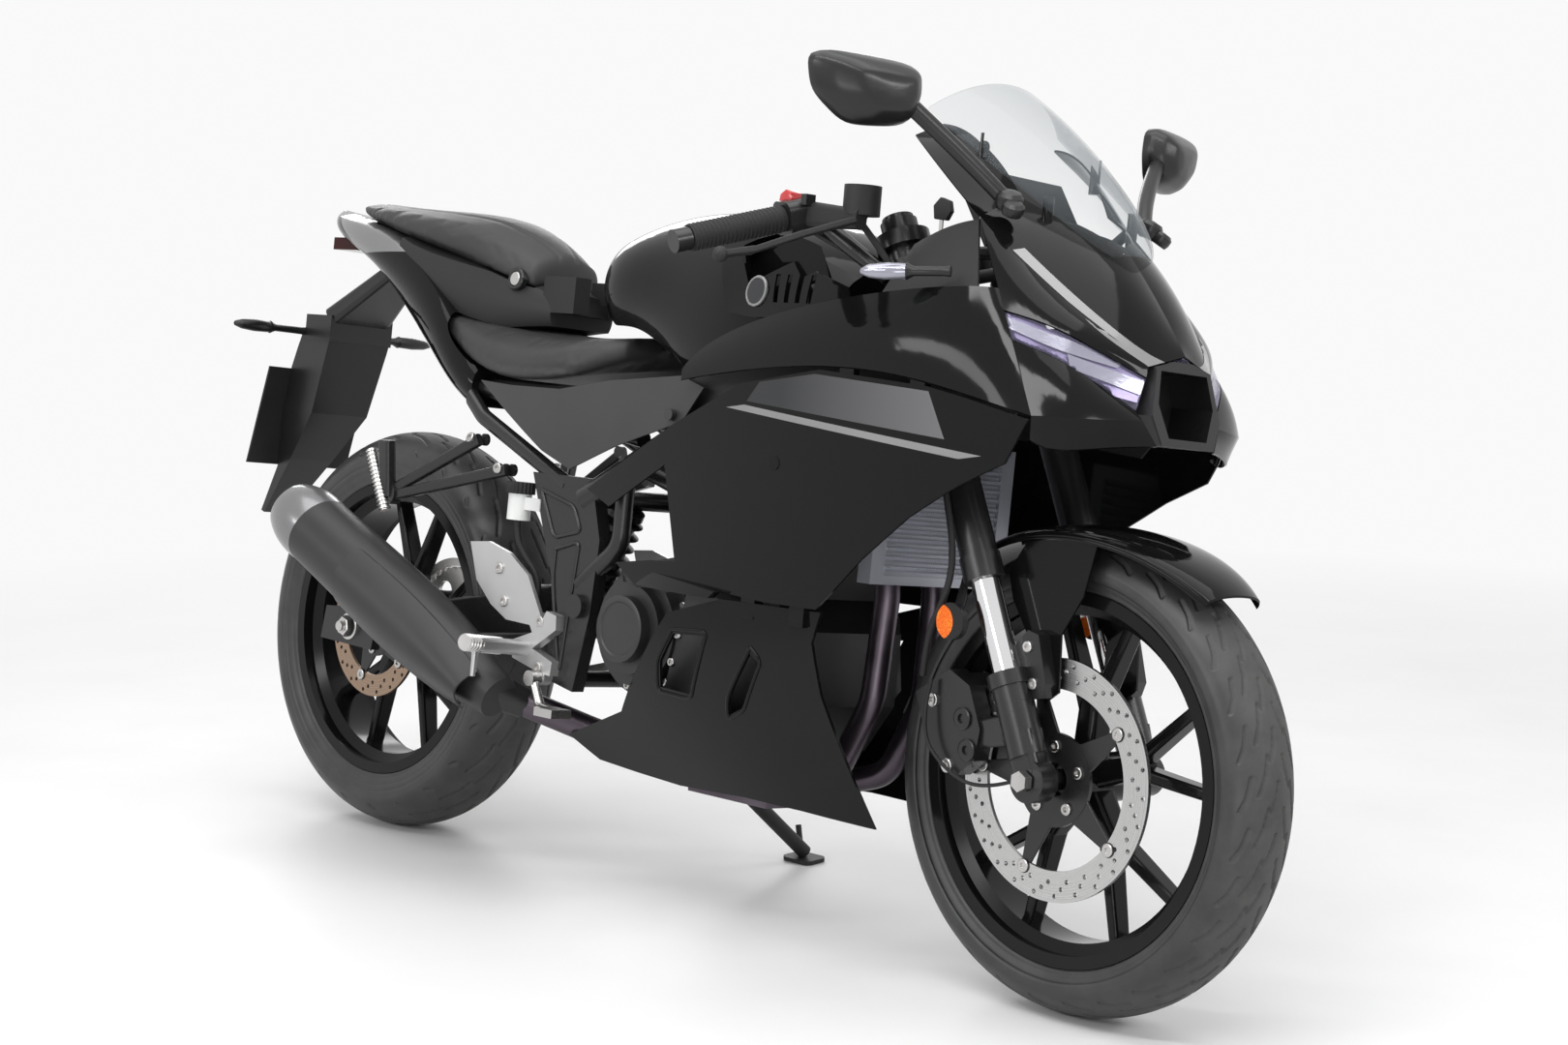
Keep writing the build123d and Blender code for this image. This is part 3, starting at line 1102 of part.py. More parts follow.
def build():
    """Every node's shape in the upright layout, with the body that it moves with."""
    nodes = {}

    def add(name, shape, moves_with=FIXED):
        nodes[name] = (shape, moves_with)

    add("front_tyre", tyre(FRONT_AXLE, FRONT_TYRE), FRONT_WHEEL)
    add("front_rim", rim(FRONT_AXLE, FRONT_TYRE, HUB_HALF, FRONT_AXLE_RADIUS + RUNNING_FIT), FRONT_WHEEL)
    front_disc = (FRONT_AXLE, FRONT_DISC_Y, FRONT_DISC_RADIUS, 38, DISC_THICK)
    rear_disc = (REAR_AXLE, REAR_DISC_Y, REAR_DISC_RADIUS, 34, DISC_THICK)
    add("front_brake_disc", brake_disc(*front_disc, 26), FRONT_WHEEL)
    add("front_disc_carrier", disc_carrier(*front_disc, 58, -HUB_HALF), FRONT_WHEEL)
    add("rear_brake_disc", brake_disc(*rear_disc, 18), REAR_WHEEL)
    add("rear_disc_carrier", disc_carrier(*rear_disc, 46, -REAR_HUB_HALF), REAR_WHEEL)
    add("rear_tyre", tyre(REAR_AXLE, REAR_TYRE), REAR_WHEEL)
    add("rear_rim", rim(REAR_AXLE, REAR_TYRE, REAR_HUB_HALF, REAR_AXLE_RADIUS + RUNNING_FIT,
                         SPROCKET_Y - SPROCKET_THICK / 2), REAR_WHEEL)
    add("rear_sprocket", sprocket(REAR_AXLE, SPROCKET_Y, SPROCKET_TEETH, SPROCKET_THICK, 20), REAR_WHEEL)
    pairs = (("fork_outers", fork_outer), ("fork_inners", fork_inner), ("fork_feet", fork_foot), ("handlebars", handlebar),
             ("grips", grip), ("levers", lever), ("reflectors", reflector))
    for name, maker in pairs:
        add(name, Compound([maker(-1), maker(1)]), STEERED)
    add("upper_clamp", clamp(UPPER_CLAMP, 20, STEM_RADIUS + RUNNING_FIT), STEERED)
    stem = cylinder(on_steering_axis(LOWER_CLAMP - 18), on_steering_axis(UPPER_CLAMP + 14), STEM_RADIUS)
    add("lower_clamp", clamp(LOWER_CLAMP, 28, STEM_RADIUS - 1).fuse(stem), STEERED)
    add("front_axle", front_axle(), STEERED)
    add("front_fender", front_fender(), STEERED)
    add("front_caliper", caliper(), STEERED)
    add("frame_right", main_frame(-1))
    add("frame_left", main_frame(1).fuse(stand_bracket()))
    add("frame_cross_tubes", Compound([head_tube(), *frame_cross_members()]))
    add("engine", engine_block())
    add("engine_covers", Compound([engine_cover(-1), engine_cover(1)]))
    add("radiator", radiator())
    add("exhaust_headers", exhaust_headers())
    add("muffler", muffler())
    add("muffler_cap", muffler_cap())
    add("heat_shield", heat_shield())
    add("swingarm", swingarm())
    add("rear_pins", Compound([swing_pivot_bolt(), rear_axle()]))
    add("shock", shock())
    add("chain", chain())
    add("side_stand", side_stand(), STAND)
    add("fuel_tank", fuel_tank())
    add("rider_seat", body(SEAT))
    add("pillion_seat", body(PILLION))
    add("tail_cowl", tail_cowl())
    add("seat_base", seat_base())
    add("front_cowl", front_cowl())
    add("windscreen", windscreen())
    add("nose_duct", nose_duct())
    add("dashboard", dashboard())
    add("tail_light", tail_light())
    add("rear_fender", rear_fender())
    add("licence_plate", licence_plate())
    add("fluid_reservoir", fluid_reservoir())
    for name, maker in (("side_fairing", side_fairing), ("lower_fairing", lower_fairing)):
        add(name + "_right", maker())
        left = mirrored(maker())
        if name == "lower_fairing":
            left = left - box((-190, 60, 150), (-30, 200, 262))
        add(name + "_left", left)
    pairs = (("headlights", headlight), ("inner_trims", inner_trim), ("side_covers", side_cover),
             ("mirrors", mirror_unit), ("tank_covers", tank_cover), ("rider_steps", peg_bracket), ("pillion_steps", pillion_bracket),
             ("pedals", brake_pedal))
    for name, maker in pairs:
        shape = maker()
        add(name, Compound([shape, mirrored(shape)]))
    lamps = [front_indicator(), rear_indicator()]
    add("indicators", Compound(lamps + [mirrored(lamp) for lamp in lamps]))
    return nodes


def place(shape, moves_with):
    """From the upright layout to the parked one, before the origin is moved."""
    if moves_with in (STEERED, FRONT_WHEEL):
        shape = shape.rotate(STEER_LINE, REST_STEER)
    return shape.rotate(TILT_LINE, -LEAN)


def main():
    placed = {name: place(shape, group) for name, (shape, group) in build().items()}
    bounds = Compound(list(placed.values())).bounding_box()
    shift = Vector(-bounds.center().X, -bounds.center().Y, -bounds.min.Z)
    os.makedirs("parts", exist_ok=True)
    for name, shape in placed.items():
        solids = shape.moved(Location(shift)).solids()
        export_step(Compound(solids) if len(solids) > 1 else solids[0], f"parts/{name}.step")
    print("shift", shift, "size", bounds.size)


main()
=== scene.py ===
import bmesh
import bpy
from math import cos, hypot, pi, radians, sin
from mathutils import Matrix, Vector


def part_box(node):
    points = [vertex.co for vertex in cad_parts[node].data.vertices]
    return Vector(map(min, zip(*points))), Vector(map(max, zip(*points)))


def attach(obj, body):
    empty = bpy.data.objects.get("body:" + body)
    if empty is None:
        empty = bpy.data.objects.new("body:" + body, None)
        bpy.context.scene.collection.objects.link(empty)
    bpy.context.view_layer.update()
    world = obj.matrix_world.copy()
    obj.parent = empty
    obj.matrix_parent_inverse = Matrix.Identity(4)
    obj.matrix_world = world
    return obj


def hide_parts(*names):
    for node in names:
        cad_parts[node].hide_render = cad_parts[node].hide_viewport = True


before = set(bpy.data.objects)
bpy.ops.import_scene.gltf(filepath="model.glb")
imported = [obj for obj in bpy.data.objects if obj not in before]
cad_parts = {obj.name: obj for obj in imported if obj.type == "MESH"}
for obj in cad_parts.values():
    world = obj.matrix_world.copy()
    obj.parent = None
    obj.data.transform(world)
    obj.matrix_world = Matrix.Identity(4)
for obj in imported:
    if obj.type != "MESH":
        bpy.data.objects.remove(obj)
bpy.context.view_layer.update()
print("frame loaded")

# The upright layout that sizes below are given in: millimetres, +X forward, +Z up.
layout = {"lean": -8.0, "steer": -3.4, "rake": 25.0, "steerFoot": (785, 0, 0),
          "rearAxle": (-690, 0, 314), "frontAxle": (690, 0, 293), "plateY": 128}

lean = Matrix.Rotation(radians(layout["lean"]), 4, "X")
low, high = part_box("rear_tyre")
shift = (low + high) / 2 - lean @ (Vector(layout["rearAxle"]) / 1000)
toRow = Matrix.Translation(shift) @ lean
foot = Matrix.Translation(Vector(layout["steerFoot"]) / 1000)
steerAxis = Vector((-sin(radians(layout["rake"])), 0, cos(radians(layout["rake"]))))
toRowSteered = toRow @ foot @ Matrix.Rotation(radians(layout["steer"]), 4, steerAxis) @ foot.inverted()


def placed(bodyName):
    return toRowSteered if bodyName in ("steering", "front_wheel") else toRow


def newObject(name, data):
    created = bpy.data.objects.new(name, data)
    bpy.context.scene.collection.objects.link(created)
    return created


def newMesh(name, build):
    mesh = bpy.data.meshes.new(name)
    build.to_mesh(mesh)
    build.free()
    return mesh


# Camera and lamps.
view = {"place": (2.67856, -2.46938, 1.01939), "yaw": 135.157, "pitch": -7.376, "lens": 60.43}
cameraData = bpy.data.cameras.new("camera")
cameraData.lens = view["lens"]
cameraData.clip_end = 60
camera = newObject("camera", cameraData)
yaw, pitch = radians(view["yaw"]), radians(view["pitch"])
look = Vector((cos(pitch) * cos(yaw), cos(pitch) * sin(yaw), sin(pitch)))
camera.location = Vector(view["place"]) + shift
camera.rotation_euler = look.to_track_quat("-Z", "Y").to_euler()
bpy.context.scene.camera = camera
bpy.context.scene.view_settings.view_transform = "Standard"

lamps = {"ceiling": ((0.4, -0.3, 3.6), (0.2, 0, 0.4), (4.4, 2.6), 80),
         "roofStrip": ((1.2, -1.6, 2.7), (0.4, 0, 0.7), (3.4, 0.22), 34),
         "front": ((4.2, 0.6, 2.2), (0.3, 0, 0.6), (2.6, 0.5), 46),
         "side": ((-0.6, -4.2, 2.2), (0, 0, 0.55), (4.2, 0.5), 52),
         "low": ((2.8, -2.6, 0.5), (0.4, 0, 0.4), (1.4, 0.9), 14),
         "back": ((-3.6, 2.6, 2.4), (0, 0, 0.7), (3.0, 1.0), 42)}
for name, (place, target, size, power) in lamps.items():
    data = bpy.data.lights.new(name, "AREA")
    data.shape, data.energy = "RECTANGLE", power
    data.size, data.size_y = size
    lamp = newObject(name, data)
    lamp.location = place
    lamp.rotation_euler = (Vector(target) - Vector(place)).to_track_quat("-Z", "Y").to_euler()


# Shader writing: a Wire is one socket's value, a Graph a node tree, a Net one material.
class Wire:
    def __init__(self, net, socket):
        self.net, self.socket = net, socket

    def sum(self, operation, first, second):
        return self.net.add("ShaderNodeMath", {"operation": operation}, {0: first, 1: second})

    def __add__(self, other): return self.sum("ADD", self, other)
    def __radd__(self, other): return self.sum("ADD", other, self)
    def __sub__(self, other): return self.sum("SUBTRACT", self, other)
    def __rsub__(self, other): return self.sum("SUBTRACT", other, self)
    def __mul__(self, other): return self.sum("MULTIPLY", self, other)
    def __rmul__(self, other): return self.sum("MULTIPLY", other, self)
    def __pow__(self, other): return self.sum("POWER", self, other)
    def __rpow__(self, other): return self.sum("POWER", other, self)
    def __gt__(self, other): return self.sum("GREATER_THAN", self, other)
    def __lt__(self, other): return self.sum("LESS_THAN", self, other)

    def ramp(self, start, end, low=0.0, high=1.0):
        return self.net.add("ShaderNodeMapRange", {}, {"Value": self, "From Min": start, "From Max": end,
                                                       "To Min": low, "To Max": high})

    def split(self):
        first = self.net.add("ShaderNodeSeparateXYZ", {}, {"Vector": self})
        return [Wire(self.net, output) for output in first.socket.node.outputs]


class Graph:
    def __init__(self, tree):
        self.tree = tree

    def add(self, kind, settings, sockets, output=0):
        node = self.tree.nodes.new(kind)
        for key, value in settings.items():
            setattr(node, key, value)
        for key, value in sockets.items():
            self.feed(node.inputs[key], value)
        return Wire(self, node.outputs[output])

    def feed(self, socket, value):
        if isinstance(value, Wire):
            self.tree.links.new(value.socket, socket)
        elif value is not None:
            socket.default_value = value


class Net(Graph):
    def __init__(self, name):
        self.material = bpy.data.materials.new(name)
        self.material.use_nodes = True
        super().__init__(self.material.node_tree)
        self.shader = self.tree.nodes["Principled BSDF"]
        self.coords = self.add("ShaderNodeTexCoord", {}, {}, "Object")

    def noise(self, scale, detail=2.0, rough=0.5):
        return self.add("ShaderNodeTexNoise", {}, {"Vector": self.coords, "Scale": scale,
                                                   "Detail": detail, "Roughness": rough})

    def blend(self, share, first, second):
        colours = [c if isinstance(c, Wire) else (*c, 1) for c in (first, second)]
        return self.add("ShaderNodeMix", {"data_type": "RGBA"}, {0: share, 6: colours[0], 7: colours[1]}, 2)

    def bump(self, height, strength, distance):
        return self.add("ShaderNodeBump", {}, {"Height": height, "Strength": strength, "Distance": distance})

    def finish(self, **values):
        for key, value in values.items():
            socket = self.shader.inputs[key.replace("_", " ")]
            if isinstance(value, tuple):
                value = (*value, 1)
            self.feed(socket, value)
        return self.material


def layoutCoords(net, bodyName="chassis"):
    inverse = placed(bodyName).inverted()
    turn, move = inverse.to_euler(), inverse.to_translation()
    return net.add("ShaderNodeMapping", {}, {"Vector": net.coords, "Location": move, "Rotation": turn})


def paint(name, colour, rough, grain=0.0, grainScale=900, coat=0.0, metal=0.0, cloud=0.25):
    net = Net(name)
    patches, fine = net.noise(7, 3), net.noise(grainScale, 3, 0.6)
    dark = tuple(c * (1 - cloud) for c in colour)
    light = tuple(min(1, c * (1 + cloud) + 0.002) for c in colour)
    spread = patches.ramp(0.35, 0.65, rough * 0.85, rough * 1.15) + (fine - 0.5) * rough * 0.15
    height = fine * 0.7 + net.noise(160, 2) * 0.3
    values = {"Base_Color": net.blend(patches.ramp(0.3, 0.7), dark, light), "Roughness": spread,
              "Metallic": metal, "Coat_Weight": coat, "Coat_Roughness": 0.03}
    if grain:
        values["Normal"] = net.bump(height, 0.6, grain)
    return net.finish(**values)


def lacquer(name, colour, rough=0.05, dusty=0.05):
    net = Net(name)
    dust, wave = net.noise(2600, 2, 0.7), net.noise(11, 2)
    specks = dust.ramp(0.68, 0.76) * dusty
    return net.finish(Base_Color=net.blend(specks, colour, (0.2, 0.2, 0.19)),
                      Roughness=wave.ramp(0.3, 0.7, rough, rough * 1.8) + specks * 0.6,
                      Specular_IOR_Level=0.17, Normal=net.bump(net.noise(240, 2), 0.1, 0.00003))


def moulded(name, colour, rough, level=0.26, grain=0.00012):
    net = Net(name)
    fine, cloud = net.noise(1500, 3, 0.6), net.noise(8, 3)
    return net.finish(Base_Color=net.blend(cloud.ramp(0.3, 0.7), colour, tuple(c * 1.35 for c in colour)),
                      Roughness=cloud.ramp(0.3, 0.7, rough * 0.9, rough * 1.1), Specular_IOR_Level=level,
                      Normal=net.bump(fine, 0.5, grain))


def axleDistance(net, body, axle):
    x, y, z = net.add("ShaderNodeVectorMath", {"operation": "SUBTRACT"},
                      {0: layoutCoords(net, body), 1: tuple(a / 1000 for a in axle)}).split()
    return (x * x + z * z) ** 0.5


def turnedSteel(name, body, axle, dark=(0.40, 0.40, 0.40), bright=(0.54, 0.54, 0.53)):
    # fine rings round the axle, as a disc is ground
    net = Net(name)
    radius = axleDistance(net, body, axle)
    rings = net.add("ShaderNodeTexNoise", {"noise_dimensions": "1D"},
                    {"W": radius, "Scale": 1400, "Detail": 2})
    worn = net.noise(14, 3)
    return net.finish(Base_Color=net.blend(rings.ramp(0.35, 0.65), dark, bright),
                      Roughness=rings.ramp(0.3, 0.7, 0.2, 0.36) + worn.ramp(0.4, 0.7, 0, 0.06), Metallic=1.0,
                      Normal=net.bump(rings, 0.25, 0.00006))


def leather(name):
    net = Net(name)
    cells = net.add("ShaderNodeTexVoronoi", {"feature": "DISTANCE_TO_EDGE"},
                    {"Vector": net.coords, "Scale": 620, "Randomness": 1.0})
    worn, fold = net.noise(6, 3), net.noise(60, 3)
    colour = net.blend(worn.ramp(0.35, 0.65), (0.020, 0.020, 0.021), (0.030, 0.030, 0.031))
    return net.finish(Base_Color=colour, Roughness=worn.ramp(0.3, 0.7, 0.44, 0.54), Specular_IOR_Level=0.4,
                      Normal=net.bump(cells.ramp(0, 0.25) * 0.7 + fold * 0.3, 0.5, 0.00025))


def tyreRubber(name, body, axle, radius):
    net = Net(name)
    reach = axleDistance(net, body, axle)
    crown = reach.ramp(radius - 0.022, radius - 0.004)
    dust, fine = net.noise(26, 4, 0.65), net.noise(1500, 2)
    wall = net.blend(dust.ramp(0.35, 0.7), (0.017, 0.017, 0.018), (0.030, 0.030, 0.031))
    scuffed = net.blend(dust.ramp(0.3, 0.7), (0.028, 0.028, 0.028), (0.052, 0.051, 0.050))
    return net.finish(Base_Color=net.blend(crown, wall, scuffed), Roughness=crown.ramp(0, 1, 0.42, 0.62),
                      Normal=net.bump(fine * 0.6 + dust * 0.4, 0.5, 0.0002))


def glass(name, tint, alpha):
    rim, rough = 0.5, 0.03
    net = Net(name)
    smear = net.noise(9, 3)
    edge = net.add("ShaderNodeLayerWeight", {}, {"Blend": 0.25}, "Facing")
    return net.finish(Base_Color=net.blend(smear.ramp(0.3, 0.7), tint, tuple(c * 0.9 for c in tint)),
                      Roughness=smear.ramp(0.3, 0.7, rough, rough * 2.5), Specular_IOR_Level=0.2,
                      Alpha=edge.ramp(0.0, 1.0, alpha, min(1, alpha + rim)))


reflectorSpot = {"x": 546.5, "z": 469.5, "radius": 21.5}


def amber(name):
    net = Net(name)
    cells = net.add("ShaderNodeTexVoronoi", {}, {"Vector": net.coords, "Scale": 420})
    # six sectors of prisms, as the moulding has, on a black backing
    x, y, z = layoutCoords(net, "steering").split()
    across, tall = x - reflectorSpot["x"] / 1000, z - reflectorSpot["z"] / 1000
    reach = (across * across + tall * tall) ** 0.5
    sector = tall.sum("ARCTAN2", tall, across) * (3 / pi)
    lit = sector.sum("PINGPONG", sector, 1.0) > 0.5
    colour = net.blend(cells.ramp(0.1, 0.6), net.blend(lit, (1.0, 0.30, 0.02), (0.95, 0.20, 0.01)),
                       (0.75, 0.12, 0.004))
    outside = reach > reflectorSpot["radius"] / 1000
    return net.finish(Base_Color=net.blend(outside, colour, (0.008, 0.008, 0.008)),
                      Roughness=outside * 0.25 + 0.2, Specular_IOR_Level=0.3,
                      Normal=net.bump(cells, 0.6, 0.0008))


def shadedPanelGrey(name):
    # painted shade: darker towards the front edge, where the metallic coat turns away from the light
    net = Net(name)
    shadeAlong = layoutCoords(net).split()[0]
    flake = net.noise(3000, 2, 0.8)
    colour = net.blend(shadeAlong.ramp(0.30, 0.60), (0.030, 0.031, 0.033), (0.15, 0.15, 0.158))
    return net.finish(Base_Color=colour, Roughness=flake.ramp(0.3, 0.7, 0.10, 0.18), Metallic=0.3,
                      Specular_IOR_Level=0.4)


# Each finish: its maker and the values that it takes.
finishes = {
    "gloss_black": (lacquer, (0.0045, 0.0048, 0.0045)),
    "rim_black": (lacquer, (0.006, 0.006, 0.0062), 0.12, 0.02),
    "matte_black": (moulded, (0.014, 0.014, 0.015), 0.5),
    "satin_black": (moulded, (0.008, 0.008, 0.0085), 0.3, 0.4, 0.00004),
    "cover_black": (moulded, (0.022, 0.022, 0.023), 0.4, 0.4, 0.00006),
    "black_metal": (moulded, (0.009, 0.009, 0.0095), 0.27, 0.45, 0.00004),
    "dark_engine": (moulded, (0.016, 0.016, 0.017), 0.4, 0.45, 0.00025),
    "muffler_black": (moulded, (0.017, 0.017, 0.018), 0.44, 0.4, 0.00016),
    "aluminium": (paint, (0.50, 0.50, 0.50), 0.36, 0.00008, 900, 0, 0.8, 0.08),
    "steel": (paint, (0.50, 0.49, 0.48), 0.28, 0.00003, 800, 0, 1.0, 0.1),
    "chrome": (paint, (0.72, 0.72, 0.73), 0.07, 0.0, 800, 0, 1.0, 0.04),
    "rubber": (moulded, (0.012, 0.012, 0.012), 0.6, 0.3, 0.0002),
    "silver": (paint, (0.20, 0.20, 0.205), 0.3, 0.00002, 1800, 0.4, 0.6, 0.06),
    "stripe_silver": (paint, (0.22, 0.22, 0.22), 0.2, 0.0, 900, 0.3, 0.3, 0.06),
    "header": (paint, (0.085, 0.07, 0.085), 0.33, 0.00004, 500, 0, 0.9, 0.4),
    "core": (paint, (0.40, 0.41, 0.46), 0.42, 0.0001, 600, 0, 0.6, 0.12),
    "lamp_back": (paint, (0.20, 0.17, 0.29), 0.22, 0.0, 700, 0, 0.5, 0.2),
    "lamp_bar": (paint, (0.36, 0.36, 0.42), 0.12, 0.0004, 260, 0, 0.6, 0.2),
    "red": (paint, (0.50, 0.012, 0.012), 0.3, 0.00003, 900, 0.6),
    "tail_red": (lacquer, (0.03, 0.002, 0.002), 0.05),
    "lens_white": (paint, (0.62, 0.63, 0.62), 0.3, 0.00003, 900),
    "mirror_glass": (paint, (0.80, 0.81, 0.83), 0.02, 0.0, 800, 0, 1.0, 0.02),
    "seat": (leather,),
    "orange": (amber,),
    "panel_grey": (shadedPanelGrey,),
    "screen": (glass, (0.20, 0.23, 0.25), 0.045),
    "lamp": (glass, (0.30, 0.28, 0.42), 0.12),
    "front_disc": (turnedSteel, "front_wheel", layout["frontAxle"]),
    "rear_disc": (turnedSteel, "rear_wheel", layout["rearAxle"], (0.25, 0.17, 0.12), (0.38, 0.28, 0.21)),
    "front_rubber": (tyreRubber, "front_wheel", layout["frontAxle"], 0.293),
    "rear_rubber": (tyreRubber, "rear_wheel", layout["rearAxle"], 0.314),
}
made = {}


def finish(name):
    if name not in made:
        maker, *values = finishes[name]
        made[name] = maker(name, *values)
    return made[name]


# Making and placing pieces. Points in millimetres of the upright layout go through placed().
bothSides = ((-1, "right"), (1, "left"))


def dress(piece, bodyName, finishName, smooth=True):
    # the body and the finish
    mesh = piece.data
    if smooth:
        mesh.polygons.foreach_set("use_smooth", [True] * len(mesh.polygons))
    mesh.materials.clear()
    mesh.materials.append(finish(finishName))
    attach(piece, bodyName)
    return piece


# Edges that turn by more than these (radians) are shaded sharp, and bevelled where a bevel is given.
sharpAngle, bevelAngle = radians(34), 0.5


def fromBuild(name, build, bodyName, finishName, slotName=None, curved=False, bevel=0.0):
    bmesh.ops.remove_doubles(build, verts=build.verts, dist=0.001)
    bmesh.ops.recalc_face_normals(build, faces=build.faces)
    if bevel:
        sharp = [e for e in build.edges if len(e.link_faces) == 2 and e.calc_face_angle(0) > bevelAngle]
        bmesh.ops.bevel(build, geom=sharp, offset=bevel, segments=2, profile=0.6, affect="EDGES",
                        clamp_overlap=True)
    mesh = newMesh(name, build)
    mesh.transform(placed(bodyName) @ Matrix.Scale(0.001, 4))
    piece = dress(newObject(name, mesh), bodyName, finishName)
    if not curved:
        mesh.set_sharp_from_angle(angle=sharpAngle)
    return piece


def addSlab(build, corners, otherCorners):
    # a solid between two outlines with the same number of corners
    near, far = ([build.verts.new(corner) for corner in ring] for ring in (corners, otherCorners))
    build.faces.new(near)
    build.faces.new(list(reversed(far)))
    for i in range(len(near)):
        j = (i + 1) % len(near)
        build.faces.new((near[i], far[i], far[j], near[j]))


def addPrism(build, outline, low, high):
    # an outline (x, z) drawn out along Y
    addSlab(build, *([(x, y, z) for x, z in outline] for y in (low, high)))


def addLathe(build, profile, start, direction, steps=48):
    # profile: (distance along the axis, radius), closed by caps where a radius is 0
    start, along = Vector(start), Vector(direction).normalized()
    side = along.orthogonal().normalized()
    other = along.cross(side)
    rings = []
    for distance, radius in profile:
        centre = start + along * distance
        if radius < 1e-6:
            rings.append([build.verts.new(centre)])
        else:
            rings.append([build.verts.new(centre + (side * cos(2 * pi * i / steps)
                                                    + other * sin(2 * pi * i / steps)) * radius)
                          for i in range(steps)])
    for near, far in zip(rings, rings[1:]):
        for i in range(steps):
            j = (i + 1) % steps
            if len(near) == 1 and len(far) > 1:
                build.faces.new((near[0], far[i], far[j]))
            elif len(far) == 1 and len(near) > 1:
                build.faces.new((near[i], far[0], near[j]))
            elif len(near) > 1:
                build.faces.new((near[i], far[i], far[j], near[j]))


def turnedPiece(name, profile, start, direction, bodyName, finishName, slotName=None, steps=48):
    # one lathe profile as a piece, with a cap at its start
    build = bmesh.new()
    addLathe(build, [(profile[0][0], 0), *profile], start, direction, steps)
    return fromBuild(name, build, bodyName, finishName, slotName)


tubeSteps, tubeRound = 10, 4


def clippedHose(name, points, radius, bodyName, finishName="rubber"):
    # a smooth round run through control points
    curve = bpy.data.curves.new(name, "CURVE")
    curve.dimensions = "3D"
    curve.resolution_u, curve.bevel_depth, curve.bevel_resolution = tubeSteps, radius / 1000, tubeRound
    curve.use_fill_caps = True
    spline = curve.splines.new("NURBS")
    spline.points.add(len(points) - 1)
    for knot, point in zip(spline.points, points):
        knot.co = (*(Vector(point) / 1000), 1)
    spline.order_u = 3
    spline.use_endpoint_u = True
    holder = newObject(name + "_run", curve)
    mesh = bpy.data.meshes.new_from_object(holder)
    bpy.data.objects.remove(holder)
    mesh.transform(placed(bodyName))
    return dress(newObject(name, mesh), bodyName, finishName)


def nodeCopy(node):
    build = bmesh.new()
    build.from_mesh(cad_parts[node].data)
    bmesh.ops.remove_doubles(build, verts=build.verts, dist=0.00002)
    return build


# how far a painted face may turn from facing the side
paintFacing = 0.12


def decal(name, node, outline, finishName, side, lift):
    # a painted area: the node's own surface inside the outline (x, z), lifted by a paint's thickness
    build = nodeCopy(node)
    centre = sum((Vector((x, 0, z)) for x, z in outline), Vector()) / len(outline)
    for (x, z), (nextX, nextZ) in zip(outline, outline[1:] + outline[:1]):
        here, there = Vector((x, 0, z)), Vector((nextX, 0, nextZ))
        across = (there - here).cross(Vector((0, 1, 0))).normalized()
        if across.dot(centre - here) > 0:
            across = -across
        everything = build.verts[:] + build.edges[:] + build.faces[:]
        bmesh.ops.bisect_plane(build, geom=everything, plane_co=toRow @ (here / 1000),
                               plane_no=toRow.to_3x3() @ across, clear_outer=True)
    outward = toRow.to_3x3() @ Vector((0, side, 0))
    middle = toRow @ Vector((0, 0, 0.5))
    build.normal_update()
    drop = [f for f in build.faces if f.normal.dot(outward) < paintFacing
            or (f.calc_center_median() - middle).dot(outward) < 0]
    bmesh.ops.delete(build, geom=drop, context="FACES")
    build.normal_update()
    for vertex in build.verts:
        vertex.co += vertex.normal * lift
    dress(newObject(name, newMesh(name, build)), "chassis", finishName)


def evaluated(piece):
    bpy.context.view_layer.update()
    graph = bpy.context.evaluated_depsgraph_get()
    return bpy.data.meshes.new_from_object(piece.evaluated_get(graph), depsgraph=graph)


def modified(piece, kind, **settings):
    modifier = piece.modifiers.new(kind, kind)
    for key, value in settings.items():
        setattr(modifier, key, value)
    mesh = evaluated(piece)
    piece.modifiers.clear()
    piece.data = mesh


def segmentGap(px, py, dx, dy):
    # from a point to the segment that runs from the origin to (dx, dy)
    share = max(0.0, min(1.0, (px * dx + py * dy) / (dx * dx + dy * dy)))
    return hypot(px - share * dx, py - share * dy)


# The finish of each solid that shows as it is.
nodeFinish = {
    "gloss_black": ("front_cowl", "side_fairing_left", "side_fairing_right", "lower_fairing_left",
                    "lower_fairing_right", "fuel_tank", "front_fender", "tail_cowl", "tank_covers"),
    "rim_black": ("front_rim", "rear_rim"),
    "satin_black": ("indicators", "mirrors", "nose_duct", "rear_fender"),
    "cover_black": ("side_covers",),
    "matte_black": ("inner_trims", "dashboard", "licence_plate", "levers", "side_stand", "seat_base"),
    "muffler_black": ("muffler", "heat_shield"),
    "black_metal": ("frame_left", "frame_right", "frame_cross_tubes", "swingarm", "upper_clamp",
                    "lower_clamp", "fork_outers", "fork_feet", "handlebars", "shock", "front_caliper",
                    "front_disc_carrier", "rear_disc_carrier", "pillion_steps", "rear_pins"),
    "dark_engine": ("engine", "engine_covers"),
    "aluminium": ("rider_steps",),
    "core": ("radiator",),
    "silver": ("muffler_cap",),
    "front_disc": ("front_brake_disc",),
    "rear_disc": ("rear_brake_disc",),
    "steel": ("front_axle", "rear_sprocket", "chain", "pedals"),
    "chrome": ("fork_inners",),
    "header": ("exhaust_headers",),
    "rubber": ("grips",),
    "front_rubber": ("front_tyre",),
    "rear_rubber": ("rear_tyre",),
    "lens_white": ("fluid_reservoir",),
    "screen": ("windscreen",),
    "lamp": ("headlights",),
    "orange": ("reflectors",),
    "tail_red": ("tail_light",),
    "seat": ("rider_seat", "pillion_seat"),
}
for name, nodes in nodeFinish.items():
    for node in nodes:
        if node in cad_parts:
            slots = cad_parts[node].data.materials
            for i in range(len(slots)):
                slots[i] = finish(name)
            if not slots:
                slots.append(finish(name))
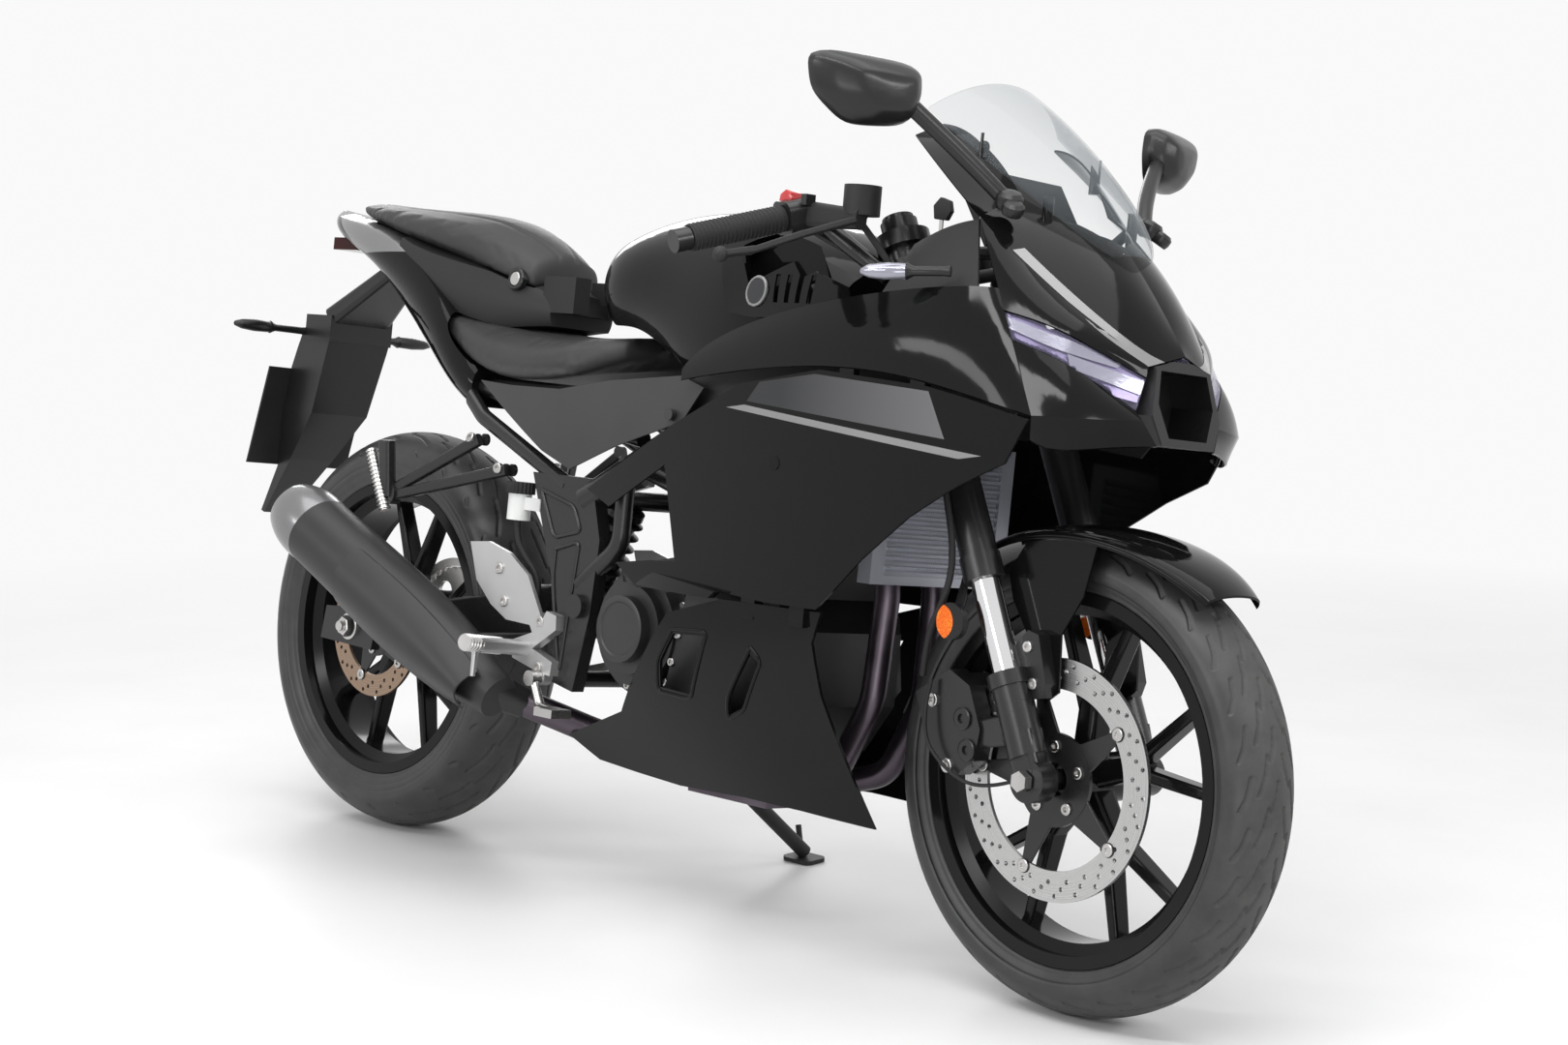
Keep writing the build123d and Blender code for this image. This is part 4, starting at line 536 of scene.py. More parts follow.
for node in set(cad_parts) - {node for nodes in nodeFinish.values() for node in nodes}:
    print("no finish for", node)
print("finishes set")

# Tyres: one ring of points for each step round the wheel, sunk where a groove of the tread passes.
tyreSizes = {
    "front_tyre": {"body": "front_wheel", "axle": layout["frontAxle"], "radius": 293, "width": 112, "rim": 84,
                   "pitches": 30, "rubber": "front_rubber",
                   "grooves": (((0.10, 0.87), (0.40, 0.77), (0.78, 0.70)),
                               ((0.42, 0.56), (0.80, 0.42), (1.20, 0.33)),
                               ((0.10, 0.26), (0.42, 0.14), (0.70, 0.09)))},
    "rear_tyre": {"body": "rear_wheel", "axle": layout["rearAxle"], "radius": 314, "width": 142, "rim": 112,
                  "pitches": 24, "rubber": "rear_rubber",
                  "grooves": (((0.20, 0.93), (0.30, 0.90), (0.36, 0.88)),
                              ((0.30, 0.66), (0.70, 0.52), (1.10, 0.44)),
                              ((0.10, 0.34), (0.50, 0.20), (0.85, 0.14)))},
}
tread = {"stepsPerPitch": 34, "crownRows": 84, "depth": 3.2, "halfWidth": 2.3, "wear": 0.95}


def grooveDepth(size, along, across):
    deepest = 0.0
    pitchLength = 2 * pi * size["radius"] / size["pitches"]
    for turn in (-1, 0, 1):
        for line in size["grooves"]:
            for (u0, v0), (u1, v1) in zip(line, line[1:]):
                du, dv = (u1 - u0) * pitchLength, (v1 - v0) * size["width"] / 2
                pu, pv = (along - turn - u0) * pitchLength, (across - v0) * size["width"] / 2
                inside = tread["halfWidth"] - segmentGap(pu, pv, du, dv)
                deepest = max(deepest, min(1.0, inside / (tread["halfWidth"] * 0.6)))
    return deepest


def tyreProfile(size):
    half, bead = size["width"] / 2, size["rim"] / 2
    tall = size["width"] * 0.31
    shoulder = size["radius"] - tall
    wallRows = [(half - 0.4, shoulder - 5), (half - 0.1, shoulder - 10), (half - 0.9, shoulder - 10.6),
                (half - 0.4, shoulder - 12), (half - 1.4, 250), (half - 2.4, 249.2), (half - 2.0, 247.6),
                (bead + 8.5, 240), (bead + 6.6, 236.5), (bead + 6.9, 235.4), (bead + 5.0, 232.6),
                (bead + 3.4, 231.6), (bead - 0.6, 231.4)]
    crown = []
    for i in range(tread["crownRows"] + 1):
        y = (half - 0.4) * sin((-1 + 2 * i / tread["crownRows"]) * pi / 2)
        crown.append((y, shoulder + tall * (1 - abs(y / (half - 0.4)) ** 2.05) ** 0.62, True))
    left = [(-y, r, False) for y, r in reversed(wallRows)]
    return left + crown + [(y, r, False) for y, r in wallRows]


def makeTyre(node, size):
    profile, axle = tyreProfile(size), Vector(size["axle"])
    steps, each = size["pitches"] * tread["stepsPerPitch"], tread["stepsPerPitch"]
    sunk = [[tread["depth"] * max(0, grooveDepth(size, (i / each + (0.5 if y > 0 else 0)) % 1,
                                                 abs(y) / size["width"] * 2))
             if crown and abs(y) < size["width"] / 2 * tread["wear"] else 0.0 for y, r, crown in profile]
            for i in range(each)]
    points, faces, count = [], [], len(profile)
    for i in range(steps):
        angle = 2 * pi * i / steps
        for (y, r, crown), drop in zip(profile, sunk[i % each]):
            points.append(axle + Vector(((r - drop) * cos(angle), y, (r - drop) * sin(angle))))
    for i in range(steps):
        near, far = i * count, (i + 1) % steps * count
        faces += [(near + j, near + j + 1, far + j + 1, far + j) for j in range(count - 1)]
        faces.append((near + count - 1, near, far, far + count - 1))
    mesh = bpy.data.meshes.new(node + "_treaded")
    mesh.from_pydata([placed(size["body"]) @ (point / 1000) for point in points], [], faces)
    mesh.update()
    piece = dress(newObject(node + "_treaded", mesh), size["body"], size["rubber"])
    mesh.flip_normals()
    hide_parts(node)


for node, size in tyreSizes.items():
    makeTyre(node, size)
print("tyres made")


# Seats: each copied from its solid, puffed by a short cloth run, then seamed.
seats = {
    "rider_seat": {"shrink": 0.004, "cap": 0.007, "pin": 0.35, "pressure": 4.0,
                   "seams": (((-590, 20), (-470, 54), (-330, 62), (-200, 50), (-138, 22)),)},
    "pillion_seat": {"shrink": 0.003, "cap": 0.005, "pin": 0.3, "pressure": 3.0,
                     "seams": (((-866, 12), (-740, 34), (-600, 44), (-470, 36), (-398, 18)),)},
}
padVoxel = 0.006
clothSteps = 15
# a seam: its half width (mm), its depth (m), and how far a face may turn from facing up
seam = {"reach": 7, "depth": 0.0022, "upward": 0.25}


def puff(pad, size):
    start = [v.co.copy() for v in pad.data.vertices]
    lowest = min(v.z for v in start)
    tall = max(v.z for v in start) - lowest
    held = pad.vertex_groups.new(name="held")
    held.add([i for i, v in enumerate(start) if v.z < lowest + tall * size["pin"]], 1.0, "REPLACE")
    cloth = pad.modifiers.new("cloth", "CLOTH")
    cloth.settings.use_pressure = True
    cloth.settings.uniform_pressure_force = size["pressure"]
    cloth.settings.effector_weights.gravity = 0
    cloth.settings.vertex_group_mass = "held"
    cloth.settings.quality = 4
    cloth.collision_settings.use_collision = False
    for step in range(1, clothSteps + 1):
        bpy.context.scene.frame_set(step)
    puffed = evaluated(pad)
    pad.modifiers.clear()
    bpy.context.scene.frame_set(1)
    for vertex, before in zip(puffed.vertices, start):
        move = vertex.co - before
        if move.length > size["cap"]:
            vertex.co = before + move.normalized() * size["cap"]
    pad.vertex_groups.clear()
    pad.data = puffed


def pressSeam(mesh, line, side):
    # a sewn channel: points near the line, seen from above, are pulled in
    inverse = toRow.inverted()
    for vertex in mesh.vertices:
        spot = inverse @ vertex.co * 1000
        if vertex.normal.z < seam["upward"]:
            continue
        nearest = seam["reach"]
        for (x0, y0), (x1, y1) in zip(line, line[1:]):
            dx, dy = x1 - x0, (y1 - y0) * side
            px, py = spot.x - x0, spot.y - y0 * side
            nearest = min(nearest, segmentGap(px, py, dx, dy))
        if nearest < seam["reach"]:
            vertex.co -= vertex.normal * seam["depth"] * (1 - (nearest / seam["reach"]) ** 2) ** 2


def padSeat(node, size):
    build = nodeCopy(node)
    build.normal_update()
    for vertex in build.verts:
        vertex.co -= vertex.normal * size["shrink"]
    pad = newObject(node + "_cushion", newMesh(node + "_pad", build))
    modified(pad, "REMESH", mode="VOXEL", voxel_size=padVoxel)
    modified(pad, "SMOOTH", factor=0.5, iterations=6)
    puff(pad, size)
    modified(pad, "SUBSURF", levels=1, render_levels=1)
    for line in size["seams"]:
        for side in (-1, 1):
            pressSeam(pad.data, line, side)
    dress(pad, "chassis", "seat")
    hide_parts(node)


for node, size in seats.items():
    padSeat(node, size)
print("seats padded")


# Painted areas on the body panels: a node, or one of a pair, an outline seen from the side (x, z),
# the finish, and the lift of the paint, which is below the surface inside the lamps.
paintedAreas = {
    "fairing_panel": ("side_fairing_", ((258, 742), (360, 757), (552, 746), (583, 690), (236, 716)),
                      "panel_grey", 0.0004),
    "fairing_stripe": ("side_fairing_", ((196, 706), (232, 711), (640, 674), (606, 668)), "stripe_silver",
                       0.0004),
    "nose_stripe": ("front_cowl", ((606, 926), (613, 930), (778, 797), (774, 790)), "stripe_silver", 0.0004),
    "tail_panel": ("tail_cowl", ((-640, 931), (-838, 983), (-932, 982), (-924, 972), (-839, 919), (-795, 904),
                                 (-615, 908)), "silver", 0.0005),
    "lamp_bowl": ("headlights", ((610, 860), (800, 800), (810, 740), (640, 800)), "lamp_back", -0.005),
    "lamp_upper_bar": ("headlights", ((628, 846), (700, 824), (745, 804), (742, 795), (640, 831)),
                       "lamp_bar", -0.0025),
    "lamp_lower_bar": ("headlights", ((708, 806), (778, 775), (790, 752), (716, 789)), "lamp_bar", -0.0025),
}

for name, (node, outline, finishName, lift) in paintedAreas.items():
    for side, word in bothSides:
        decal(name + "_" + word, node + word if node.endswith("_") else node, outline, finishName, side, lift)
print("panels painted")


# Repeats are made by Geometry Nodes; a Pattern is one such tree with named inputs.
class Pattern(Graph):
    def __init__(self, name, inputs):
        super().__init__(bpy.data.node_groups.new(name, "GeometryNodeTree"))
        face = self.tree.interface
        face.new_socket("Geometry", in_out="INPUT", socket_type="NodeSocketGeometry")
        face.new_socket("Geometry", in_out="OUTPUT", socket_type="NodeSocketGeometry")
        self.keys = {}
        for key, value in inputs.items():
            kind = {int: "NodeSocketInt", float: "NodeSocketFloat", str: "NodeSocketMaterial"}[type(value)]
            socket = face.new_socket(key, in_out="INPUT", socket_type=kind)
            if kind != "NodeSocketMaterial":
                socket.default_value = value
            self.keys[key] = socket.identifier
        self.start = self.tree.nodes.new("NodeGroupInput")
        self.end = self.tree.nodes.new("NodeGroupOutput")

    def __getitem__(self, key):
        return Wire(self, self.start.outputs[key])

    def close(self, geometry):
        whole = self.add("GeometryNodeRealizeInstances", {}, {"Geometry": geometry})
        painted = self.add("GeometryNodeSetMaterial", {}, {"Geometry": whole, "Material": self["Finish"]})
        self.feed(self.end.inputs["Geometry"], painted)
        return self

    def closeAtPoints(self, shape):
        # the shape on each point, turned along the point's aim
        aim = self.add("GeometryNodeInputNamedAttribute", {"data_type": "FLOAT_VECTOR"}, {"Name": "aim"})
        turned = self.add("FunctionNodeAlignRotationToVector", {"axis": "Z"}, {"Vector": aim})
        return self.close(self.add("GeometryNodeInstanceOnPoints", {},
                                   {"Points": self["Geometry"], "Instance": shape, "Rotation": turned}))

    def run(self, name, mesh, bodyName, finishName, slotName, values, smooth=False, inLayout=False):
        holder = newObject(name + "_points", mesh)
        modifier = holder.modifiers.new("pattern", "NODES")
        modifier.node_group = self.tree
        modifier[self.keys["Finish"]] = finish(finishName)
        for key, value in values.items():
            modifier[self.keys[key]] = value
        result = evaluated(holder)
        holder.modifiers.clear()
        bpy.data.objects.remove(holder)
        if inLayout:
            result.transform(placed(bodyName) @ Matrix.Scale(0.001, 4))
        return dress(newObject(name, result), bodyName, finishName, smooth)


def boltPattern():
    # a cap screw with a socket
    p = Pattern("boltHeads", {"Finish": "", "Radius": 0.005, "Height": 0.004, "Sides": 16, "Socket": 0.55})
    head = p.add("GeometryNodeMeshCylinder", {}, {"Vertices": p["Sides"], "Radius": p["Radius"],
                                                  "Depth": p["Height"] * 1.4}, "Mesh")
    top = Wire(p, head.socket.node.outputs["Top"])
    for offset, shrink in ((p["Height"] * 0.22, 0.86), (0.0, p["Socket"]), (p["Height"] * -0.75, 1.0)):
        grown = p.add("GeometryNodeExtrudeMesh", {"mode": "FACES"},
                      {"Mesh": head, "Selection": top, "Offset Scale": offset}, "Mesh")
        top = Wire(p, grown.socket.node.outputs["Top"])
        head = p.add("GeometryNodeScaleElements", {"domain": "FACE"},
                     {"Geometry": grown, "Selection": top, "Scale": shrink})
    return p.closeAtPoints(head)


boltHeads = boltPattern()
# further to the side than any piece, in millimetres
outside = 600


def sideHit(node, x, z, side, bodyName="chassis"):
    # where a line from the side meets the node, in metres, with the surface's outward direction
    matrix = placed(bodyName)
    origin = matrix @ (Vector((x, side * outside, z)) / 1000)
    ray = (matrix.to_3x3() @ Vector((0, -side, 0))).normalized()
    hit, spot, normal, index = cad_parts[node].ray_cast(origin, ray)
    if not hit:
        print("nothing under", node, x, z)
        return None
    return spot, normal if normal.dot(ray) < 0 else -normal


def sideBolts(name, node, spots, side, bodyName="chassis", finishName="steel", **values):
    hits = [sideHit(node, x, z, side, bodyName) for x, z in spots]
    places = [hit for hit in hits if hit]
    mesh = bpy.data.meshes.new(name)
    mesh.from_pydata([spot for spot, aim in places], [], [])
    aims = mesh.attributes.new("aim", "FLOAT_VECTOR", "POINT")
    for i, (spot, aim) in enumerate(places):
        aims.data[i].vector = aim
    boltHeads.run(name, mesh, bodyName, finishName, None, values)


# Screws and nuts, each seated on the piece that it holds.
pairedBolts = {
    "step_bolts": ("rider_steps", ((-185, 380), (-179, 315)), "chassis", 0.0085),
    "pillion_bolts": ("pillion_steps", ((-400, 629), (-330, 589)), "chassis", 0.008),
    "fender_bolts": ("fork_feet", ((657, 452), (670, 408)), "steering", 0.0072),
    "guard_bolts": ("rider_steps", ((-287, 446), (-270, 400)), "chassis", 0.0085),
}
for side, word in bothSides:
    for name, (node, spots, bodyName, radius) in pairedBolts.items():
        sideBolts(name + "_" + word, node, spots, side, bodyName, Radius=radius)


def onCircle(centre, radius, count, start, step):
    # spots (x, z) on a circle, by degrees
    turns = (radians(start + step * i) for i in range(count))
    return [(centre[0] + radius * cos(a), centre[1] + radius * sin(a)) for a in turns]


sideBolts("disc_bolts_front", "front_disc_carrier", onCircle((690, 293), 41, 5, 20, 72), -1, "front_wheel",
          Radius=0.0075)
sideBolts("disc_bolts_rear", "rear_disc_carrier", onCircle((-690, 314), 36, 5, 50, 72), -1, "rear_wheel",
          Radius=0.007)
sideBolts("caliper_bolts", "front_caliper", ((506, 366), (540, 288)), -1, "steering", Radius=0.009)
sideBolts("piston_caps", "front_caliper", ((560, 350), (572, 312)), -1, "steering", "black_metal",
          Radius=0.014, Height=0.004, Sides=32, Socket=0.5)
sideBolts("cover_bolts", "engine_covers", onCircle((-3, 391), 84, 9, 200, 27), -1, Radius=0.006)
# the bobbins' caps: the circle's radius is the disc's less its band, and the seat's reach
for node, centre, reach, bodyName in (("front_disc_carrier", (690, 293), 149 - 38 + 7, "front_wheel"),
                                      ("rear_disc_carrier", (-690, 314), 110 - 34 + 7, "rear_wheel")):
    sideBolts(node + "_bobbins", node, onCircle(centre, reach, 5, 36, 72), -1, bodyName, Radius=0.0082,
              Height=0.0022, Socket=0.5, Sides=24)
print("bolts set")


# Mirrors: a smooth shell on a bent stalk, with a glass set into its back.
mirror = {"foot": ((599, -148, 974), (555, -124, 1002)), "knee": (548, -168, 1026), "neck": (505, -252, 1090),
          "outline": ((-376, 1138), (-366, 1088), (-318, 1054), (-248, 1062), (-234, 1100), (-238, 1138)),
          "middle": (474, -290, 1102), "slant": 0.28,
          "rings": ((-2, 0.98, 0), (0, 1.02, 0), (14, 1.03, 0), (32, 0.86, -2), (46, 0.55, -4),
                    (50, 0.2, -4)),
          "glass": 0.86, "glassFaces": (-2.6, -1.1), "stalk": 10.5}


def flip(point, side):
    return (point[0], point[1] * -side, point[2])


def mirrorSide(side, word):
    middle = Vector(mirror["middle"])

    def corners(size, offset, drop=0):
        ring = []
        for y, z in mirror["outline"]:
            out = (y - middle.y) * size
            ring.append(flip((middle.x + offset + out * mirror["slant"], middle.y + out,
                              middle.z + (z - middle.z) * size + drop), side))
        return ring

    build = bmesh.new()
    rings = [[build.verts.new(corner) for corner in corners(size, offset, drop)]
             for offset, size, drop in mirror["rings"]]
    count = len(mirror["outline"])
    for near, far in zip(rings, rings[1:]):
        for i in range(count):
            build.faces.new((near[i], near[(i + 1) % count], far[(i + 1) % count], far[i]))
    glassFace = build.faces.new(rings[0])
    build.faces.new(rings[-1])
    bmesh.ops.inset_region(build, faces=[glassFace], thickness=4.0, depth=-1.0)
    bmesh.ops.subdivide_edges(build, edges=build.edges[:], cuts=1, use_grid_fill=True)
    shell = fromBuild("mirror_shell_" + word, build, "chassis", "satin_black", "matte_black", True)
    modified(shell, "SUBSURF", levels=2, render_levels=2)
    plate = bmesh.new()
    addSlab(plate, *(corners(mirror["glass"], offset) for offset in mirror["glassFaces"]))
    fromBuild("mirror_glass_" + word, plate, "chassis", "mirror_glass", "chrome", bevel=3.0)
    low, high = (Vector(flip(p, side)) for p in mirror["foot"])
    route = (low.lerp(high, 0.4), flip(mirror["knee"], side), flip(mirror["neck"], side))
    clippedHose("mirror_stalk_" + word, route, mirror["stalk"], "chassis", "satin_black")
    base = bmesh.new()
    addLathe(base, ((-7, 0), (-7, 14), (0, 17), (10, 17), (15, 13), (17, 0)), low.lerp(high, 0.32),
             (0.35, 0.2 * side, 1), 28)
    addLathe(base, ((-6, 0), (-6, 12), (0, 14), (7, 14), (11, 10), (12, 0)), low, (0.5, 0.3 * side, 1), 28)
    fromBuild("mirror_foot_" + word, base, "chassis", "satin_black", "matte_black")
    return shell


mirrors = [mirrorSide(side, word) for side, word in bothSides]
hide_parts("mirrors")
print("mirrors made")

# Radiator: fins between the tubes of the core.
radiatorFace, finRows, finPitch = (409.4, 0, 592), 13, 12.0
radiatorFins = {"Fins": 62, "Rows": finRows, "Width": 212.0, "Height": (finRows - 1) * finPitch, "Depth": 3.2,
                "Thickness": 0.9, "Fin height": 8.0}


def finPattern():
    p = Pattern("radiatorFins", {"Finish": "", "Fins": 50, "Rows": 13, "Width": 200.0, "Height": 140.0,
                                 "Depth": 3.0, "Thickness": 0.8, "Fin height": 8.0})
    grid = p.add("GeometryNodeMeshGrid", {}, {"Size X": p["Width"], "Size Y": p["Height"],
                                              "Vertices X": p["Fins"], "Vertices Y": p["Rows"]}, "Mesh")
    upright = p.add("GeometryNodeTransform", {}, {"Geometry": grid, "Rotation": (pi / 2, 0, pi / 2)})
    size = p.add("ShaderNodeCombineXYZ", {}, {"X": p["Depth"], "Y": p["Thickness"], "Z": p["Fin height"]})
    fin = p.add("GeometryNodeMeshCube", {}, {"Size": size}, "Mesh")
    return p.close(p.add("GeometryNodeInstanceOnPoints", {}, {"Points": upright, "Instance": fin}))


finMesh = bpy.data.meshes.new("fins")
finPattern().run("radiator_fins", finMesh, "chassis", "core", "aluminium", radiatorFins, inLayout=True)
for vertex in bpy.data.objects["radiator_fins"].data.vertices:
    vertex.co += toRow.to_3x3() @ (Vector(radiatorFace) / 1000)
print("radiator finned")

# Hoses and cables that are clipped to the steering.
hoses = {
    "brake_hose": ((380, -166, 955), (404, -146, 920), (466, -121, 830), (484, -116, 790), (520, -130, 660),
                   (552, -128, 560), (548, -130, 505), (512, -124, 450), (492, -104, 396)),
    "sensor_cable": ((508, -104, 392), (500, -112, 330), (540, -104, 284), (600, -98, 266), (652, -94, 286)),
    "throttle_cable": ((286, -196, 958), (330, -176, 930), (400, -120, 900), (430, -60, 880),
                       (420, -30, 860)),
    "clutch_cable": ((300, 196, 958), (350, 170, 940), (410, 110, 915), (430, 56, 890), (418, 26, 866)),
}
for name, route in hoses.items():
    clippedHose(name, route, {"brake_hose": 4.4, "sensor_cable": 2.4}.get(name, 3.2), "steering")

# Small pieces of the cockpit.
key = bmesh.new()
addPrism(key, ((351, 960), (357, 960), (357, 980), (351, 980)), -1.2, 1.2)
fromBuild("key_blade", key, "steering", "steel")
key = bmesh.new()
addPrism(key, ((343, 980), (365, 978), (373, 990), (369, 1004), (352, 1009), (340, 998)), -4, 4)
fromBuild("key_head", key, "steering", "rubber", bevel=1.6)
kill = bmesh.new()
addPrism(kill, ((268, 978), (292, 980), (290, 992), (280, 996), (270, 990)), -212, -190)
fromBuild("kill_switch", kill, "steering", "red", bevel=1.6)


def ribPattern():
    # the ring of one rib
    p = Pattern("gripRibs", {"Finish": "", "Radius": 0.0174, "Thickness": 0.0012})
    line = p.add("GeometryNodeCurvePrimitiveCircle", {}, {"Resolution": 28, "Radius": p["Radius"]}, "Curve")
    section = p.add("GeometryNodeCurvePrimitiveCircle", {}, {"Resolution": 6, "Radius": p["Thickness"]},
                    "Curve")
    ring = p.add("GeometryNodeCurveToMesh", {}, {"Curve": line, "Profile Curve": section})
    return p.closeAtPoints(ring)


grips = {"inner": (292, -205, 962), "end": (262, -352, 919), "ribs": 22, "from": 0.16, "to": 0.97}
matrix = placed("steering")
ribs = ribPattern()
for side, word in bothSides:
    inner, end = (matrix @ (Vector(flip(grips[k], side)) / 1000) for k in ("inner", "end"))
    mesh = bpy.data.meshes.new("grip_points_" + word)
    mesh.from_pydata([inner.lerp(end, grips["from"] + (grips["to"] - grips["from"]) * i / (grips["ribs"] - 1))
                      for i in range(grips["ribs"])], [], [])
    aims = mesh.attributes.new("aim", "FLOAT_VECTOR", "POINT")
    for item in aims.data:
        item.vector = (end - inner).normalized()
    ribs.run("grip_ribs_" + word, mesh, "steering", "rubber", None, {"Radius": 0.0168}, True)
print("cockpit fitted")

# Turned covers and caps: the engine cover's ring and the pivot caps.
pivotProfile = ((-8, 20), (4, 20), (6, 18), (6, 13), (2, 12), (2, 6), (5, 5), (5, 0))
turnedPiece("cover_ring", ((0, 46), (2.5, 46), (3.5, 44), (3.5, 38), (1.5, 36), (1.5, 0)), (-3, -176, 391),
            (0, -1, 0), "chassis", "dark_engine")
for side, word in bothSides:
    turnedPiece("pivot_cap_" + word, pivotProfile, (-124, side * 144, 409), (0, side, 0), "chassis",
                "black_metal")
print("caps turned")

# Fittings that sit on the solids' surfaces.


def layoutHit(node, x, z, side):
    # where a line from the side meets the node, in the layout's millimetres
    hit = sideHit(node, x, z, side)
    if not hit:
        return None
    back = toRow.inverted()
    return (back @ hit[0]) * 1000, back.to_3x3() @ hit[1]


edgingStep = 22


def edging(name, node, outline, side, radius, finishName, size=1.0):
    # a raised rim along an outline (x, z) on the node's surface
    middle = Vector((sum(x for x, z in outline), sum(z for x, z in outline))) / len(outline)
    corners = [middle + (Vector(corner) - middle) * size for corner in outline]
    route = []
    for here, there in zip(corners, corners[1:] + corners[:1]):
        steps = max(1, round((there - here).length / edgingStep))
        for i in range(steps):
            hit = layoutHit(node, *here.lerp(there, i / steps), side)
            if hit:
                route.append(hit[0])
    if len(route) > 3:
        clippedHose(name, route + route[:1], radius, "chassis", finishName)


def turnedOn(name, node, spot, side, profile, finishName, slotName, steps, seat):
    # a turned piece at the spot; the seat is another spot that gives the surface's depth
    hit = layoutHit(node, *(seat or spot), side)
    if hit:
        start, aim = hit
        if seat:
            start, aim = Vector((spot[0], start.y, spot[1])), Vector((0, side, 0))
        turnedPiece(name, profile, start, aim, "chassis", finishName, slotName, steps)


def ribbed(length, count, low, high):
    # a lathe profile with ribs
    profile = [(0, low)]
    for i in range(count):
        at = length * (i + 0.5) / count
        half = length / count * 0.3
        profile += [(at - half, low), (at - half * 0.6, high), (at + half * 0.6, high), (at + half, low)]
    return profile + [(length, low), (length, 0)]


linerOutline = ((30, 655), (50, 735), (150, 772), (300, 792), (600, 772), (642, 735), (606, 692), (450, 706),
                (300, 692), (110, 645))
platePockets = (((-184, 484), (-134, 500), (-152, 308), (-184, 314)),
                ((-226, 566), (-152, 548), (-134, 514), (-190, 500)))
fairingWindows = (((128, 400), (186, 404), (170, 366), (150, 322), (92, 324), (98, 360)),
                  ((268, 392), (284, 380), (250, 318), (222, 304), (226, 330)))
ring = ((0, 21), (2.4, 21), (3.4, 20), (3.4, 18), (2, 17.4), (2, 0))
lockRing = ((-3, 17), (6, 17), (8, 15.5), (8, 12), (6, 11), (6, 0))
lockCore = ((4, 10.5), (8.2, 10.5), (9, 9.6), (9, 0))
nut = ((0, 15), (11, 15), (12, 13.5), (12, 0))
stud = ((10, 8), (18, 8), (19, 7), (19, 0))
washer = ((0, 21), (3, 21), (3.6, 20), (3.6, 0))
axleSpot, armSpot, emblemSpot, washerHeight = (-690, 314), (-662, 314), (190, 862), 3
emblemDisc = ((2, 17), (2.8, 17), (2.8, 0))
nut, stud = ([(a + washerHeight, r) for a, r in shape] for shape in (nut, stud))
seated = (
    ("tank_disc_ring_", "tank_covers", emblemSpot, ring, "stripe_silver", "steel", 48, None),
    ("tank_disc_", "tank_covers", emblemSpot, emblemDisc, "panel_grey", "gloss_black", 48, None),
    ("axle_washer_", "swingarm", axleSpot, washer, "steel", "steel", 48, armSpot),
    ("axle_nut_", "swingarm", axleSpot, nut, "steel", "steel", 6, armSpot),
    ("axle_stud_", "swingarm", axleSpot, stud, "steel", "steel", 48, armSpot),
)
linerSides = (146, 149)
for side, word in bothSides:
    build = bmesh.new()
    addPrism(build, linerOutline, side * linerSides[0], side * linerSides[1])
    fromBuild("seam_liner_" + word, build, "chassis", "matte_black")
    for i, pocket in enumerate(platePockets):
        edging(f"frame_pocket_{word}_{i}", "frame_" + word, pocket, side, 3.2, "black_metal")
    for i, window in enumerate(fairingWindows):
        edging(f"window_rim_{word}_{i}", "lower_fairing_" + word, window, side, 2.8, "gloss_black", 1.16)
    for name, node, spot, *values in seated:
        turnedOn(name + word, node, spot, side, *values)
    peg = bmesh.new()
    addLathe(peg, [(0, 0), *ribbed(98, 16, 7.5, 9.5)], (-556, side * 178, 506), (-38, side * 6, 86), 24)
    addLathe(peg, [(0, 0), *ribbed(104, 13, 10.5, 12.6)], (-222, side * 204, 340), (42, side * 100, 9), 24)
    fromBuild("peg_sleeves_" + word, peg, "chassis", "steel")
lock = {"place": (-420, -72, 872), "aim": (0, -1, 0.1)}
turnedPiece("seat_lock_ring", lockRing, lock["place"], lock["aim"], "chassis", "black_metal")
turnedPiece("seat_lock_core", lockCore, lock["place"], lock["aim"], "chassis", "steel")

# Fluid reservoir: a ribbed cap and the hose under it.
reservoir = {"middle": (-276, -(layout["plateY"] + 20)), "cap": (556, 573), "radius": (20, 21.4), "ribs": 22}
cap = bmesh.new()
x, y = reservoir["middle"]
turns = [(2 * pi * i / (4 * reservoir["ribs"]), reservoir["radius"][i // 2 % 2])
         for i in range(4 * reservoir["ribs"])]
addSlab(cap, *([(x + radius * cos(a), y + radius * sin(a), z) for a, radius in turns]
               for z in reservoir["cap"]))
fromBuild("reservoir_cap", cap, "chassis", "rubber", bevel=0.5)
clippedHose("reservoir_hose", ((x, y, 522), (x, y, 496), (x + 14, y + 6, 468), (x + 44, y + 12, 440),
                               (x + 50, y + 8, 400), (x + 44, y + 2, 372)), 5.2, "chassis")

